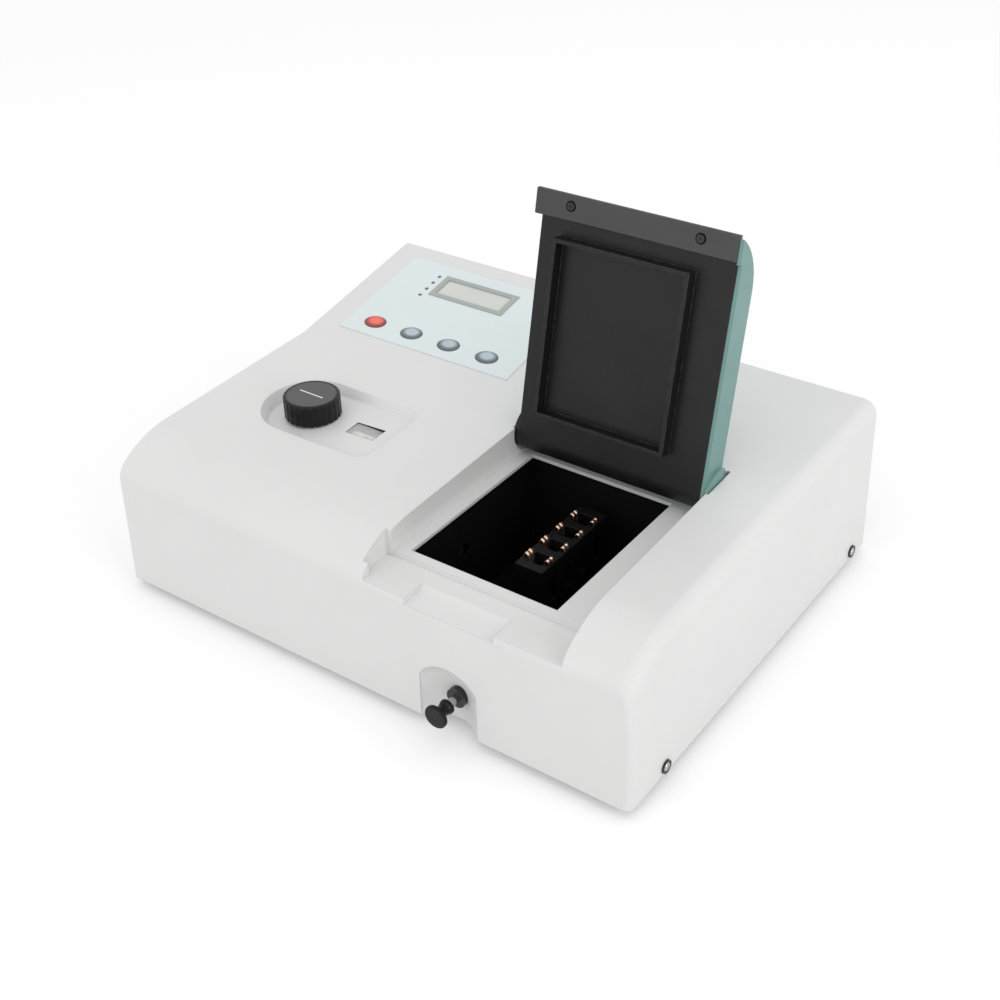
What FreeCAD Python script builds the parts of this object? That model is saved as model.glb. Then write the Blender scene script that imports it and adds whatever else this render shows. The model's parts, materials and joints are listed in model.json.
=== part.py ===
"""Single-beam bench spectrophotometer: moulded cover, hinged chamber lid, sliding cell rack,
wavelength drive with counter, monochromator bench, lamp house and electronics.

Millimetres, +Z up, +Y towards the rear, +X to the right.  Everything is laid out in a bench
frame: y is measured from the foot of the front face and z from the lower edge of the cover.
write() moves each piece to the part's own frame, whose origin lies under the middle of the
whole instrument, at the level that the feet stand on.
"""
import FreeCAD, Part
import math
import os

V = FreeCAD.Vector
X = V(1, 0, 0)
Y = V(0, 1, 0)
Z = V(0, 0, 1)

# Overall body
WIDTH = 470.0
DEPTH = 370.0
WALL = 3.0
DRAFT = 1.1
FOOT_HEIGHT = 8.0
FOOT_DIAMETER = 26.0
FOOT_INSET_X = 45.0
FOOT_INSET_Y = 50.0
BASE_THICKNESS = 2.0
BASE_LIFT = 1.0
BASE_GAP = 0.4
BASE_FLANGE = 14.0

# Front curve, top slope and display console
NOSE_START = 92.0
NOSE_RADIUS = 18.0
NOSE_SLOPE = 36.0
TOP_FRONT_HEIGHT = 120.9
TOP_SLOPE = 1.97
CONSOLE_KNEE = DEPTH - 149.0
CONSOLE_SLOPE = 11.2
CONSOLE_RIGHT = 6.0
CORNER_RADIUS = 6.0
SHOULDER_RADIUS = 12.0
LEFT_EDGE_RADIUS = 4.0
REAR_EDGE_RADIUS = 2.5

# Lid channel, ledge and chamber opening
CHANNEL_LEFT = 14.0
CHANNEL_RIGHT = 179.5
CHANNEL_END = 221.5
LEDGE = TOP_FRONT_HEIGHT - 18.9
STEP_LEDGE = LEDGE - 4.0
STEP_AT = 37.0
TRAY = 3.0
OPENING_LEFT = 24.0
OPENING_RIGHT = 148.0
OPENING_FRONT = 45.5
OPENING_REAR = 198.0
FINGER_LEFT = 51.0
FINGER_RIGHT = 126.0
FINGER_DEPTH = 5.0
FINGER_BACK = 23.0

# Hinged lid, laid out closed and then turned open about its pins
HINGE_Y = 205.8
HINGE_Z = TOP_FRONT_HEIGHT - 0.5
LID_OPEN = 101.8
LID_GAP = 1.6
LID_REST = 0.6
LID_WALL = 2.5
LID_PLATE = LEDGE + LID_REST
LID_THICKNESS = 23.9
LID_LEFT = 17.6
LID_RIGHT = CHANNEL_RIGHT - LID_GAP
LID_CURL = 3.0
LID_NOSE_Y = 60.0
LID_NOSE_RADIUS = 46.0
LID_HEEL = 12.0
LINER_THICKNESS = 2.0
FRAME_LEFT = 34.5
FRAME_RIGHT = 145.5
FRAME_FRONT = 47.5
FRAME_REAR = 183.0
FRAME_DEPTH = 10.0
FRAME_WALL = 3.0
LIP_FRONT = 16.0
LIP_LENGTH = 19.0
LIP_THICKNESS = 3.7
LIP_LEFT = 13.0
LIP_OVERHANG = 3.5
LIP_SCREW_X = 42.7
LIP_SCREW_Y = 24.3
LIP_SCREW_SPACING = 104.0
PIN_RADIUS = 3.0
PIN_BOSS = 8.0
CHEEK_RADIUS = 17.3
CHEEK_GAP = 1.0
RUNNING = 0.05

# Arch recess and pull rod
ROD_X = 88.0
ROD_Z = 22.5
ROD_RADIUS = 3.5
ROD_REACH = 17.0
ROD_KNOB_RADIUS = 9.2
ROD_KNOB_LENGTH = 15.0
ARCH_RADIUS = 32.4
ARCH_DEPTH = 12.4
ARCH_CENTRE = 86.5
ARCH_HALF = 24.5
ARCH_SPRING = 38.0
ARCH_TOP = 52.0
BUSH_RADIUS = 8.0
BUSH_LENGTH = 5.0

# Sample chamber and cell rack
CHAMBER_LEFT = 20.0
CHAMBER_RIGHT = 152.0
CHAMBER_FRONT = 32.0
CHAMBER_REAR = 202.0
CHAMBER_FLOOR = 10.0
CHAMBER_STEP_Y = 42.0
CHAMBER_STEP_Z = STEP_LEDGE - FINGER_DEPTH - TRAY - 1.6
SHEET = 1.5
CELL = 12.6
CELL_PITCH = 20.0
CELLS = 4
CELL_DEPTH = 44.0
RACK_WIDTH = 24.0
RACK_TOP = 80.0
RACK_BOTTOM = 29.0
RACK_FRONT = 98.0
GUIDE_RADIUS = 3.0
GUIDE_SPACING = 36.0
GUIDE_Z = 18.0
BEAM_Y = RACK_FRONT + 4.0 + CELL_PITCH / 2
BEAM_Z = 60.0

# Wavelength knob, its dish and the counter
KNOB_X = -141.0
KNOB_Y = 130.0
KNOB_RADIUS = 22.7
KNOB_TOP = TOP_FRONT_HEIGHT + 16.6
KNOB_HEIGHT = 17.8
KNOB_DIMPLES = 24
DIMPLE_RADIUS = 2.4
DIMPLE_DEPTH = 0.7
DISH_RADIUS = 39.0
DISH_RIGHT = -57.0
DISH_LEFT_DEPTH = 9.5
DISH_RIGHT_DEPTH = 3.2
DISH_SLANT = 5.0
SHAFT_RADIUS = 4.0
GEAR_RADIUS = 8.0
GEAR_TEETH = 16
DRIVE_Z = TOP_FRONT_HEIGHT - 16.4
WINDOW_X = -87.0
WINDOW_WIDTH = 28.0
WINDOW_LENGTH = 16.0
DRUM_RADIUS = 10.6
PANE_Z = DRIVE_Z + 14.0
CROSS_RADIUS = 2.5
CROSS_END = -10.0
SHAFT_SIDES = 16
BEARING_ROOM = 0.12
COUNTER_LEFT = -125.0
COUNTER_RIGHT = -8.0
LUG_PLACES = (-112.0, -66.0, -14.0)
POST_X = -27.0
NUT_GUIDE_Y = 146.0
FORK_LOW = DRIVE_Z - 12.0

# Monochromator bench
BENCH_LEFT = 19.0 - WIDTH / 2
BENCH_RIGHT = 12.0
BENCH_FRONT = 26.0
BENCH_REAR = 218.0
BENCH_FLOOR = 14.0
BENCH_TOP = DRIVE_Z - 16.5
BENCH_WALL = 4.0
GRATING_X = -42.0
GRATING_Y = 78.0
ARM_LENGTH = 40.0
PIN_ARM_RADIUS = 2.0
MIRROR_X = BENCH_LEFT + 22.0
COLLIMATOR_Y = 47.0
LAMP_Y = BENCH_REAR + 44.0
LENS_RADIUS = 11.0
ENTRANCE_X = -10.0

# Electronics behind the bench and the chamber
TRANSFORMER_INSET = 30.0
TRANSFORMER_WIDTH = 80.0
TRANSFORMER_LENGTH = 66.0
TRANSFORMER_HEIGHT = 62.0
TRANSFORMER_GAP = 28.0
BOARD_LEFT = 62.0
BOARD_GAP = 36.0
BOARD_INSET = 32.0
BOARD_LIFT = 9.0
BOARD_THICKNESS = 1.6

# Keypad panel on the console slope
PANEL_LEFT = -207.0
PANEL_RIGHT = -30.0
PANEL_LOW = 19.0
PANEL_HIGH = 131.0
PANEL_THICKNESS = 0.8
PANEL_SINK = 0.4
LCD_LEFT = -161.5
LCD_WIDTH = 77.8
LCD_LOW = 88.2
LCD_HEIGHT = 29.3
KEY_U = 36.2
KEY_FIRST = -180.0
KEY_PITCH = 39.4
KEY_LONG = 20.5
KEY_SHORT = 15.0
KEY_TRAVEL = 0.6
OVAL_SIDES = 40
KEY_NAMES = ("mode_key", "zero_key", "full_scale_key", "print_key")

# Status lamps beside the display
LAMP_RADIUS = 1.6
LAMP_SIDES = 16
LAMP_X = -168.0
LAMP_FIRST = 85.0
LAMP_PITCH = 9.7

# Side screws with their cup washers
SCREW_FRONT = 46.0
SCREW_REAR = DEPTH - 27.0
SCREW_Z = 6.5
SCREW_RADIUS = 2.0
SCREW_HEAD_RADIUS = 3.6
WASHER_RADIUS = 5.3

# Rear panel and what it carries
REAR_INSET = 2.5
REAR_SHEET = 1.5
REAR_HALF = WIDTH / 2 - 16.0
SHOULDER_EXTRA = 5.0
REAR_HIGH = TOP_FRONT_HEIGHT - 8.9
REAR_REACH = 2.0
INLET_X = WIDTH / 2 - 67.0
INLET_Z = 46.0
SWITCH_X = WIDTH / 2 - 117.0
PORT_X = WIDTH / 2 - 173.0
FAN_X = 125.0 - WIDTH / 2
FAN_Z = 56.0
FAN_SIZE = 60.0
FAN_DEPTH = 15.0

FRONT = (ROD_REACH - DEPTH) / 2
TO_PART_FRAME = V(0, FRONT, FOOT_HEIGHT)


def box(x0, x1, y0, y1, z0, z1):
    """Block between two levels along each axis."""
    return Part.makeBox(x1 - x0, y1 - y0, z1 - z0, V(x0, y0, z0))


def rod(radius, start, end):
    """Round bar between two points."""
    run = end - start
    return Part.makeCylinder(radius, run.Length, start, run)


def ring_points(radius, centre, along, sides):
    """Corners of an even-sided outline square to a direction."""
    across = X if abs(along.z) > 0.5 else Z
    over = along.cross(across)
    corners = []
    for index in range(sides):
        angle = 2 * math.pi * index / sides
        corners.append(centre + across * (radius * math.cos(angle)) + over * (radius * math.sin(angle)))
    return corners


def bar(radius, start, end, sides=6):
    """Bar with flat sides, its corners at the radius."""
    run = end - start
    corners = ring_points(radius, start, V(run).normalize(), sides)
    return Part.Face(Part.makePolygon(corners + corners[:1])).extrude(run)


def tapered(radius, end_radius, start, end, sides):
    """Bar with flat sides that narrows or widens evenly."""
    along = V(end - start).normalize()
    low = ring_points(radius, start, along, sides)
    high = ring_points(end_radius, end, along, sides)
    return frustum([tuple(point) for point in low], [tuple(point) for point in high])


def prism_x(points, x0, x1):
    """Extrude an outline of (y, z) points along X."""
    outline = [V(x0, y, z) for y, z in points]
    return Part.Face(Part.makePolygon(outline + outline[:1])).extrude(V(x1 - x0, 0, 0))


def prism_y(points, y0, y1):
    """Extrude an outline of (x, z) points along Y."""
    outline = [V(x, y0, z) for x, z in points]
    return Part.Face(Part.makePolygon(outline + outline[:1])).extrude(V(0, y1 - y0, 0))


def prism_z(points, z0, z1):
    """Extrude an outline of (x, y) points along Z."""
    outline = [V(x, y, z0) for x, y in points]
    return Part.Face(Part.makePolygon(outline + outline[:1])).extrude(V(0, 0, z1 - z0))


def joined(shapes):
    """Fuse touching solids into one and clean its seams."""
    shapes = list(shapes)
    whole = shapes[0]
    for shape in shapes[1:]:
        whole = whole.fuse(shape)
    return whole.removeSplitter()


def cut_all(shape, tools):
    """Take several solids out of one."""
    for tool in tools:
        shape = shape.cut(tool)
    return shape


def group(shapes):
    """Keep separate solids of one kind together."""
    return Part.makeCompound(list(shapes))


def turned(shape, centre, axis, degrees):
    """Copy turned about an axis."""
    copy = shape.copy()
    copy.rotate(centre, axis, degrees)
    return copy


def write(name, shape):
    """Move a piece from the bench frame to the part's own frame and store it."""
    placed = shape.copy()
    placed.translate(TO_PART_FRAME)
    placed.exportStep("parts/%s.step" % name)


def lean(z):
    """How far a drafted outer wall stands in at height z."""
    return z * math.tan(math.radians(DRAFT))


def top_z(y):
    """Height of the sloping top at depth y."""
    return TOP_FRONT_HEIGHT + y * math.tan(math.radians(TOP_SLOPE))


def nose_points(inset):
    """Tangent points and middles of the two arcs that carry the front face into the top."""
    slope = math.radians(NOSE_SLOPE)
    top = math.radians(TOP_SLOPE)
    face = lean(NOSE_START)
    first_centre = (face + NOSE_RADIUS, NOSE_START)

    def on(centre, radius, angle):
        return (centre[0] - radius * math.sin(angle), centre[1] + radius * math.cos(angle))

    joint = on(first_centre, NOSE_RADIUS, slope)
    below = math.cos(top) * (top_z(joint[0]) - joint[1])
    second_radius = below / (1 - math.cos(slope - top))
    second_centre = (joint[0] + second_radius * math.sin(slope),
                     joint[1] - second_radius * math.cos(slope))
    small = NOSE_RADIUS - inset
    large = second_radius - inset
    quarter = math.radians(90)
    return {"start": on(first_centre, small, quarter),
            "first_middle": on(first_centre, small, (quarter + slope) / 2),
            "joint": on(first_centre, small, slope),
            "second_middle": on(second_centre, large, (slope + top) / 2),
            "end": on(second_centre, large, top)}


def side_profile(inset, x0, x1):
    """Body of the cover seen from the side, with the curved front, extruded along X."""
    nose = nose_points(inset)
    drop = inset / math.cos(math.radians(TOP_SLOPE))
    far = DEPTH + 5 - inset

    def at(point):
        return V(x0, point[0], point[1])

    rear_top = (far, top_z(far) - drop)
    edges = [Part.makeLine(at((-5, -5)), at((-5, NOSE_START))),
             Part.makeLine(at((-5, NOSE_START)), at(nose["start"])),
             Part.Arc(at(nose["start"]), at(nose["first_middle"]), at(nose["joint"])).toShape(),
             Part.Arc(at(nose["joint"]), at(nose["second_middle"]), at(nose["end"])).toShape(),
             Part.makeLine(at(nose["end"]), at(rear_top)),
             Part.makeLine(at(rear_top), at((far, -5))),
             Part.makeLine(at((far, -5)), at((-5, -5)))]
    return Part.Face(Part.Wire(edges)).extrude(V(x1 - x0, 0, 0))


def console_z(y):
    """Height of the display console's slope at depth y."""
    return top_z(CONSOLE_KNEE) + (y - CONSOLE_KNEE) * math.tan(math.radians(CONSOLE_SLOPE))


def console_wedge(inset):
    """Display console that rises from the top at the knee, left of the lid channel."""
    drop = inset / math.cos(math.radians(CONSOLE_SLOPE))
    far = DEPTH + 5 - inset
    low = top_z(CONSOLE_KNEE) - 20
    outline = [(CONSOLE_KNEE - 30, console_z(CONSOLE_KNEE - 30) - drop), (far, console_z(far) - drop),
               (far, low), (CONSOLE_KNEE - 30, low)]
    return prism_x(outline, -WIDTH / 2 - 5, CONSOLE_RIGHT - inset)


def frustum(low, high):
    """Closed solid between two outlines of (x, y, z) corners, with flat side faces."""
    low = [V(*point) for point in low]
    high = [V(*point) for point in high]
    count = len(low)
    faces = [Part.Face(Part.makePolygon(low + low[:1])), Part.Face(Part.makePolygon(high + high[:1]))]
    for index in range(count):
        after = (index + 1) % count
        ring = [low[index], low[after], high[after], high[index], low[index]]
        faces.append(Part.Face(Part.makePolygon(ring)))
    return Part.Solid(Part.makeShell(faces))


def rectangle(half_x, y0, y1, z):
    """Corners of a level rectangle, even about the middle."""
    return [(-half_x, y0, z), (half_x, y0, z), (half_x, y1, z), (-half_x, y1, z)]


def plan_block(inset):
    """Drafted block that bounds the cover in plan."""
    outlines = []
    for z in (0.0, 190.0):
        edge = inset + lean(z)
        outlines.append(rectangle(WIDTH / 2 - edge, edge, DEPTH - edge, z))
    return frustum(*outlines)


def cover_form(inset):
    """Sharp-edged body of the cover, or of its hollow when inset."""
    body = side_profile(inset, -WIDTH / 2 - 5, WIDTH / 2 + 5)
    body = body.fuse(console_wedge(inset))
    return body.common(plan_block(inset)).removeSplitter()


def rounded(shape, rules):
    """Round edges: each rule is a test on an edge and the radius at its two ends."""
    document = FreeCAD.newDocument()
    base = document.addObject("Part::Feature", "Base")
    base.Shape = shape
    fillet = document.addObject("Part::Fillet", "Fillet")
    fillet.Base = base
    chosen = []
    for number, edge in enumerate(shape.Edges, 1):
        for test, radius_at in rules:
            if test(edge):
                first = edge.valueAt(edge.FirstParameter)
                last = edge.valueAt(edge.LastParameter)
                chosen.append((number, radius_at(first), radius_at(last)))
                break
    fillet.Edges = chosen
    document.recompute()
    result = fillet.Shape.copy()
    FreeCAD.closeDocument(document.Name)
    return result


def beside(edge, x_low, x_high):
    """Whether an edge lies between two levels of x and above the cover's lower rim."""
    limits = edge.BoundBox
    upright_or_top = limits.ZMax > 1
    return limits.XMin > x_low and limits.XMax < x_high and upright_or_top


def is_right(edge):
    """Edges along the right-hand side."""
    return beside(edge, WIDTH / 2 - 5, WIDTH) and edge.BoundBox.YMin < DEPTH - 20


def is_left(edge):
    """Edges along the left-hand side."""
    return beside(edge, -WIDTH, -WIDTH / 2 + 5) and edge.BoundBox.YMin < DEPTH - 20


def is_console_side(edge):
    """Upper edge of the console's right flank."""
    limits = edge.BoundBox
    long_enough = limits.YMax - limits.YMin > 100 and limits.ZMax > top_z(DEPTH) + 10
    return long_enough and beside(edge, CONSOLE_RIGHT - 1, CONSOLE_RIGHT + 1)


def is_rear(edge):
    """Short edges at the back."""
    limits = edge.BoundBox
    return limits.YMin > DEPTH - 22 and limits.YMax - limits.YMin < 20 and limits.ZMax > 1


def shoulder_radius(point):
    """Right shoulder: small at the upright corner, wide along the top."""
    if point.z < NOSE_START + 1:
        return CORNER_RADIUS
    if point.y < 12:
        return (CORNER_RADIUS + SHOULDER_RADIUS) / 2
    return SHOULDER_RADIUS


def outer_form():
    """Outside of the moulded cover with all its rounded edges."""
    long_edges = [(is_right, shoulder_radius), (is_left, lambda point: LEFT_EDGE_RADIUS),
                  (is_console_side, lambda point: LEFT_EDGE_RADIUS)]
    body = rounded(cover_form(0), long_edges)
    return rounded(body, [(is_rear, lambda point: REAR_EDGE_RADIUS)])


def inner_form():
    """Hollow of the cover, held further in along its round right shoulder."""
    edge_x = WIDTH / 2 - WALL - lean(top_z(0)) - SHOULDER_EXTRA
    strip = box(edge_x, WIDTH / 2, -5, DEPTH + 5, SHOULDER_EXTRA, 2 * TOP_FRONT_HEIGHT)
    kept = side_profile(WALL + SHOULDER_EXTRA, edge_x - 1, WIDTH / 2 + 1)
    body = cover_form(WALL).cut(strip.cut(kept))
    mouth = box(-WIDTH / 2 + WALL, WIDTH / 2 - WALL, WALL, DEPTH - WALL, -1, 1)
    rear = box(-REAR_HALF, REAR_HALF, DEPTH - 2 * WALL, DEPTH + 1, -1, REAR_HIGH)
    return body.fuse(mouth).fuse(rear)


def arch_outline(grow):
    """Front outline of the pull rod's recess: upright sides under a round arch."""
    half = ARCH_HALF + grow
    left = V(ARCH_CENTRE - half, -20, -2)
    left_spring = V(ARCH_CENTRE - half, -20, ARCH_SPRING)
    crown = V(ARCH_CENTRE, -20, ARCH_TOP + grow)
    right_spring = V(ARCH_CENTRE + half, -20, ARCH_SPRING)
    right = V(ARCH_CENTRE + half, -20, -2)
    edges = [Part.makeLine(left, left_spring), Part.Arc(left_spring, crown, right_spring).toShape(),
             Part.makeLine(right_spring, right), Part.makeLine(right, left)]
    return Part.Face(Part.Wire(edges)).extrude(V(0, 60, 0))


def arch_body(grow):
    """Round-backed recess for the pull rod's knob, grown by a wall for its shell."""
    axis = V(ARCH_CENTRE, ARCH_DEPTH - ARCH_RADIUS, -2)
    return arch_outline(grow).common(rod(ARCH_RADIUS + grow, axis, axis + Z * 80))


def dish_wire(shrink, height, tilt):
    """Outline of the wavelength knob's dish: half round on the left, round corners on the right."""
    radius = DISH_RADIUS - shrink
    corner = 12.0
    right = DISH_RIGHT - shrink
    y0 = KNOB_Y - radius
    y1 = KNOB_Y + radius
    left_x = KNOB_X - 3
    k = corner * (1 - math.sqrt(0.5))
    points = [V(left_x, y0, 0), V(right - corner, y0, 0), V(right - k, y0 + k, 0), V(right, y0 + corner, 0),
              V(right, y1 - corner, 0), V(right - k, y1 - k, 0), V(right - corner, y1, 0), V(left_x, y1, 0),
              V(left_x - radius, KNOB_Y, 0)]
    edges = [Part.makeLine(points[0], points[1]), Part.Arc(points[1], points[2], points[3]).toShape(),
             Part.makeLine(points[3], points[4]), Part.Arc(points[4], points[5], points[6]).toShape(),
             Part.makeLine(points[6], points[7]), Part.Arc(points[7], points[8], points[0]).toShape()]
    wire = Part.Wire(edges)
    wire.rotate(V(KNOB_X - DISH_RADIUS, KNOB_Y, 0), Y, -tilt)
    wire.rotate(V(KNOB_X, KNOB_Y, 0), X, TOP_SLOPE)
    wire.translate(V(0, 0, height))
    return wire


def dish_tilt():
    """Slope of the dish floor, which rises to the right."""
    return math.degrees(math.atan2(DISH_LEFT_DEPTH - DISH_RIGHT_DEPTH, DISH_RIGHT - KNOB_X + DISH_RADIUS))


def dish_body(grow, lift):
    """Slanted-wall dish; grown and lowered it is the shell that carries the dish."""
    floor = dish_wire(DISH_SLANT - grow, top_z(KNOB_Y) - DISH_LEFT_DEPTH - grow, dish_tilt())
    brim = dish_wire(-grow - lift * 0.6, top_z(KNOB_Y) + lift, 0)
    return Part.makeLoft([floor, brim], True, True)


def channel_cuts():
    """Everything that the lid's channel takes out of the top of the cover."""
    high = 200.0
    cuts = [box(CHANNEL_LEFT, CHANNEL_RIGHT, STEP_AT, CHANNEL_END, LEDGE, high),
            box(CHANNEL_LEFT, CHANNEL_RIGHT, -10, STEP_AT + 1, STEP_LEDGE, high),
            box(OPENING_LEFT, OPENING_RIGHT, OPENING_FRONT, OPENING_REAR, LEDGE - 20, LEDGE + 1)]
    notch_left = CHANNEL_LEFT - LIP_OVERHANG - LID_GAP
    cuts.append(box(notch_left, CHANNEL_LEFT + 1, STEP_AT - LIP_LENGTH - 7, STEP_AT, STEP_LEDGE, high))
    depth = STEP_LEDGE - FINGER_DEPTH
    finger = [(-5, depth), (FINGER_BACK - 6, depth + 1.5), (FINGER_BACK, STEP_LEDGE - 1),
              (FINGER_BACK + 2, STEP_LEDGE + 2), (-5, STEP_LEDGE + 2)]
    cuts.append(prism_x(finger, FINGER_LEFT, FINGER_RIGHT))
    for inner, outer in ((CHANNEL_LEFT + 1, CHANNEL_LEFT - 2), (CHANNEL_RIGHT - 1, CHANNEL_RIGHT + 2)):
        cuts.append(rod(CHEEK_RADIUS + CHEEK_GAP, V(outer, HINGE_Y, HINGE_Z), V(inner, HINGE_Y, HINGE_Z)))
    return cuts


def panel_place(shape):
    """Move a piece drawn flat, with u along Y and its face at zero height, onto the console."""
    moved = turned(shape, V(0, 0, 0), X, CONSOLE_SLOPE)
    moved.translate(V(0, CONSOLE_KNEE, top_z(CONSOLE_KNEE)))
    return moved


def oval(long, short, x, u, z0, z1):
    """Upright oval block, long across X and short along the panel."""
    outline = []
    for index in range(OVAL_SIDES):
        angle = 2 * math.pi * index / OVAL_SIDES
        outline.append((x + long / 2 * math.cos(angle), u + short / 2 * math.sin(angle)))
    return prism_z(outline, z0, z1)


def key_x(index):
    """Middle of one key along the row."""
    return KEY_FIRST + index * KEY_PITCH


def panel_cuts():
    """Sunk field for the keypad overlay, with the openings for keys, display and lamps."""
    cuts = [box(PANEL_LEFT - 0.2, PANEL_RIGHT + 0.2, PANEL_LOW - 0.2, PANEL_HIGH + 0.2, -PANEL_SINK, 5)]
    for index in range(len(KEY_NAMES)):
        cuts.append(oval(KEY_LONG + 1, KEY_SHORT + 1, key_x(index), KEY_U, -8, 2))
    cuts.append(box(LCD_LEFT + 2, LCD_LEFT + LCD_WIDTH - 2, LCD_LOW + 2, LCD_LOW + LCD_HEIGHT - 2, -8, 2))
    for x, u in lamp_places():
        cuts.append(bar(LAMP_RADIUS + 0.3, V(x, u, -8), V(x, u, 2), LAMP_SIDES))
    return [panel_place(cut) for cut in cuts]


def lamp_places():
    """Four small status lamps in a column left of the display."""
    return [(LAMP_X, LAMP_FIRST + index * LAMP_PITCH) for index in range(4)]


def side_screw_places():
    """Where each side screw meets the cover's drafted wall, and its side."""
    places = []
    for side in (-1, 1):
        for y in (SCREW_FRONT, SCREW_REAR):
            places.append((side, V(side * (WIDTH / 2 - lean(SCREW_Z)), y, SCREW_Z)))
    return places


def on_wall(shape, side, face):
    """Turn what is drawn level at a side screw's place square to the drafted wall."""
    return turned(shape, face, Y, -side * DRAFT)


def top_cover():
    """Moulded cover with its channel, trays, dish, recess and openings."""
    outer = outer_form()
    shell = outer.cut(inner_form())
    tray = box(CHANNEL_LEFT - TRAY - LIP_OVERHANG - LID_GAP, CHANNEL_RIGHT + TRAY + 2, 0, CHANNEL_END + TRAY,
               LEDGE - TRAY, 200)
    front_tray = box(CHANNEL_LEFT - TRAY - LIP_OVERHANG - LID_GAP, CHANNEL_RIGHT + TRAY + 2,
                     0, STEP_AT + TRAY, STEP_LEDGE - FINGER_DEPTH - TRAY, LEDGE)
    added = tray.fuse(front_tray).fuse(arch_body(WALL)).fuse(dish_body(WALL, 0.0))
    shell = shell.fuse(added.common(outer))
    cuts = channel_cuts() + panel_cuts() + [arch_body(0), dish_body(0, 4.0)]
    cuts.append(rod(SHAFT_RADIUS + RUNNING, V(KNOB_X, KNOB_Y, DRIVE_Z), V(KNOB_X, KNOB_Y, KNOB_TOP)))
    half = WINDOW_LENGTH / 2
    cuts.append(box(WINDOW_X - WINDOW_WIDTH / 2, WINDOW_X + WINDOW_WIDTH / 2, KNOB_Y - half, KNOB_Y + half,
                    DRIVE_Z + DRUM_RADIUS, KNOB_TOP))
    bush = V(ROD_X, 0, ROD_Z)
    cuts.append(rod(BUSH_RADIUS - 2, bush, bush + Y * 30))
    for x in (CHANNEL_LEFT - TRAY - 3, CHANNEL_RIGHT - 1):
        start = V(x, HINGE_Y, HINGE_Z)
        cuts.append(rod(PIN_RADIUS, start, start + X * (TRAY + 4)))
    for side, face in side_screw_places():
        hole = bar(SCREW_RADIUS + 0.2, face - X * side * 2 * WALL, face + X * side * WALL, 12)
        cuts.append(on_wall(hole, side, face))
    return cut_all(shell, cuts).removeSplitter()


def base_plate():
    """Folded steel floor pan with side flanges for the cover screws and a bight round the arch."""
    half = WIDTH / 2 - WALL - BASE_GAP
    y0 = WALL + BASE_GAP + 1
    y1 = DEPTH - REAR_INSET - REAR_SHEET - BASE_GAP
    z0 = BASE_LIFT
    floor = box(-half, half, y0, y1, z0, z0 + BASE_THICKNESS)
    parts = [floor]
    for side in (-1, 1):
        x0, x1 = sorted((side * half, side * (half - BASE_THICKNESS)))
        parts.append(box(x0, x1, y0, y1, z0, z0 + BASE_FLANGE))
    parts.append(box(-half, half, y0, y0 + BASE_THICKNESS, z0, z0 + BASE_FLANGE * 0.7))
    pan = joined(parts)
    axis = V(ARCH_CENTRE, ARCH_DEPTH - ARCH_RADIUS, -5)
    cuts = [rod(ARCH_RADIUS + WALL + BASE_GAP, axis, axis + Z * 40)]
    for side, face in side_screw_places():
        cuts.append(on_wall(bar(SCREW_RADIUS, face - X * side * 12, face, 12), side, face))
    for x in range(-160, 161, 40):
        cuts.append(box(x - 12, x + 12, DEPTH - 120, DEPTH - 116, 0, 10))
        cuts.append(box(x - 12, x + 12, DEPTH - 110, DEPTH - 106, 0, 10))
    return cut_all(pan, cuts)


def foot_places():
    """Middles of the four feet."""
    half = WIDTH / 2 - FOOT_INSET_X
    return [(x, y) for x in (-half, half) for y in (FOOT_INSET_Y, DEPTH - FOOT_INSET_Y)]


def rubber_feet():
    """Four turned rubber feet under the floor pan."""
    feet = []
    for x, y in foot_places():
        radius = FOOT_DIAMETER / 2
        low = V(x, y, -FOOT_HEIGHT)
        foot = tapered(radius - 2.5, radius, low, low + Z * (FOOT_HEIGHT + BASE_LIFT), 32)
        feet.append(foot.cut(bar(4, low - Z, low + Z * 3, 12)))
    return group(feet)


def cover_washers():
    """Black cup washers under the heads of the side screws."""
    washers = []
    for side, face in side_screw_places():
        out = X * side
        cup = bar(WASHER_RADIUS, face, face + out * 1.8, 20)
        cup = cup.cut(bar(SCREW_RADIUS + 0.6, face - out, face + out * 3, 12))
        seat = tapered(SCREW_HEAD_RADIUS, WASHER_RADIUS - 0.5, face + out * 0.8, face + out * 2.2, 20)
        washers.append(on_wall(cup.cut(seat), side, face))
    return group(washers)


def cover_screws():
    """Cross-slotted screws that hold the cover to the pan's flanges."""
    screws = []
    for side, face in side_screw_places():
        out = X * side
        seat = face + out * 0.8
        shank = bar(SCREW_RADIUS, face - out * 8, seat + out * 0.2, 12)
        brim = tapered(SCREW_HEAD_RADIUS, SCREW_HEAD_RADIUS * 0.85, seat, seat + out * 0.9, 20)
        crown = tapered(SCREW_HEAD_RADIUS * 0.85, SCREW_HEAD_RADIUS * 0.5, seat + out * 0.9,
                        seat + out * 1.6, 20)
        screw = shank.fuse(brim).fuse(crown)
        top = face.x + side * 1.9
        x0, x1 = sorted((top, top + side * 3))
        screw = screw.cut(box(x0, x1, face.y - 2.2, face.y + 2.2, SCREW_Z - 0.45, SCREW_Z + 0.45))
        screw = screw.cut(box(x0, x1, face.y - 0.45, face.y + 0.45, SCREW_Z - 2.2, SCREW_Z + 2.2))
        screws.append(on_wall(screw, side, face))
    return group(screws)


def rear_plane():
    """Outer face of the rear panel."""
    return DEPTH - REAR_INSET


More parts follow.
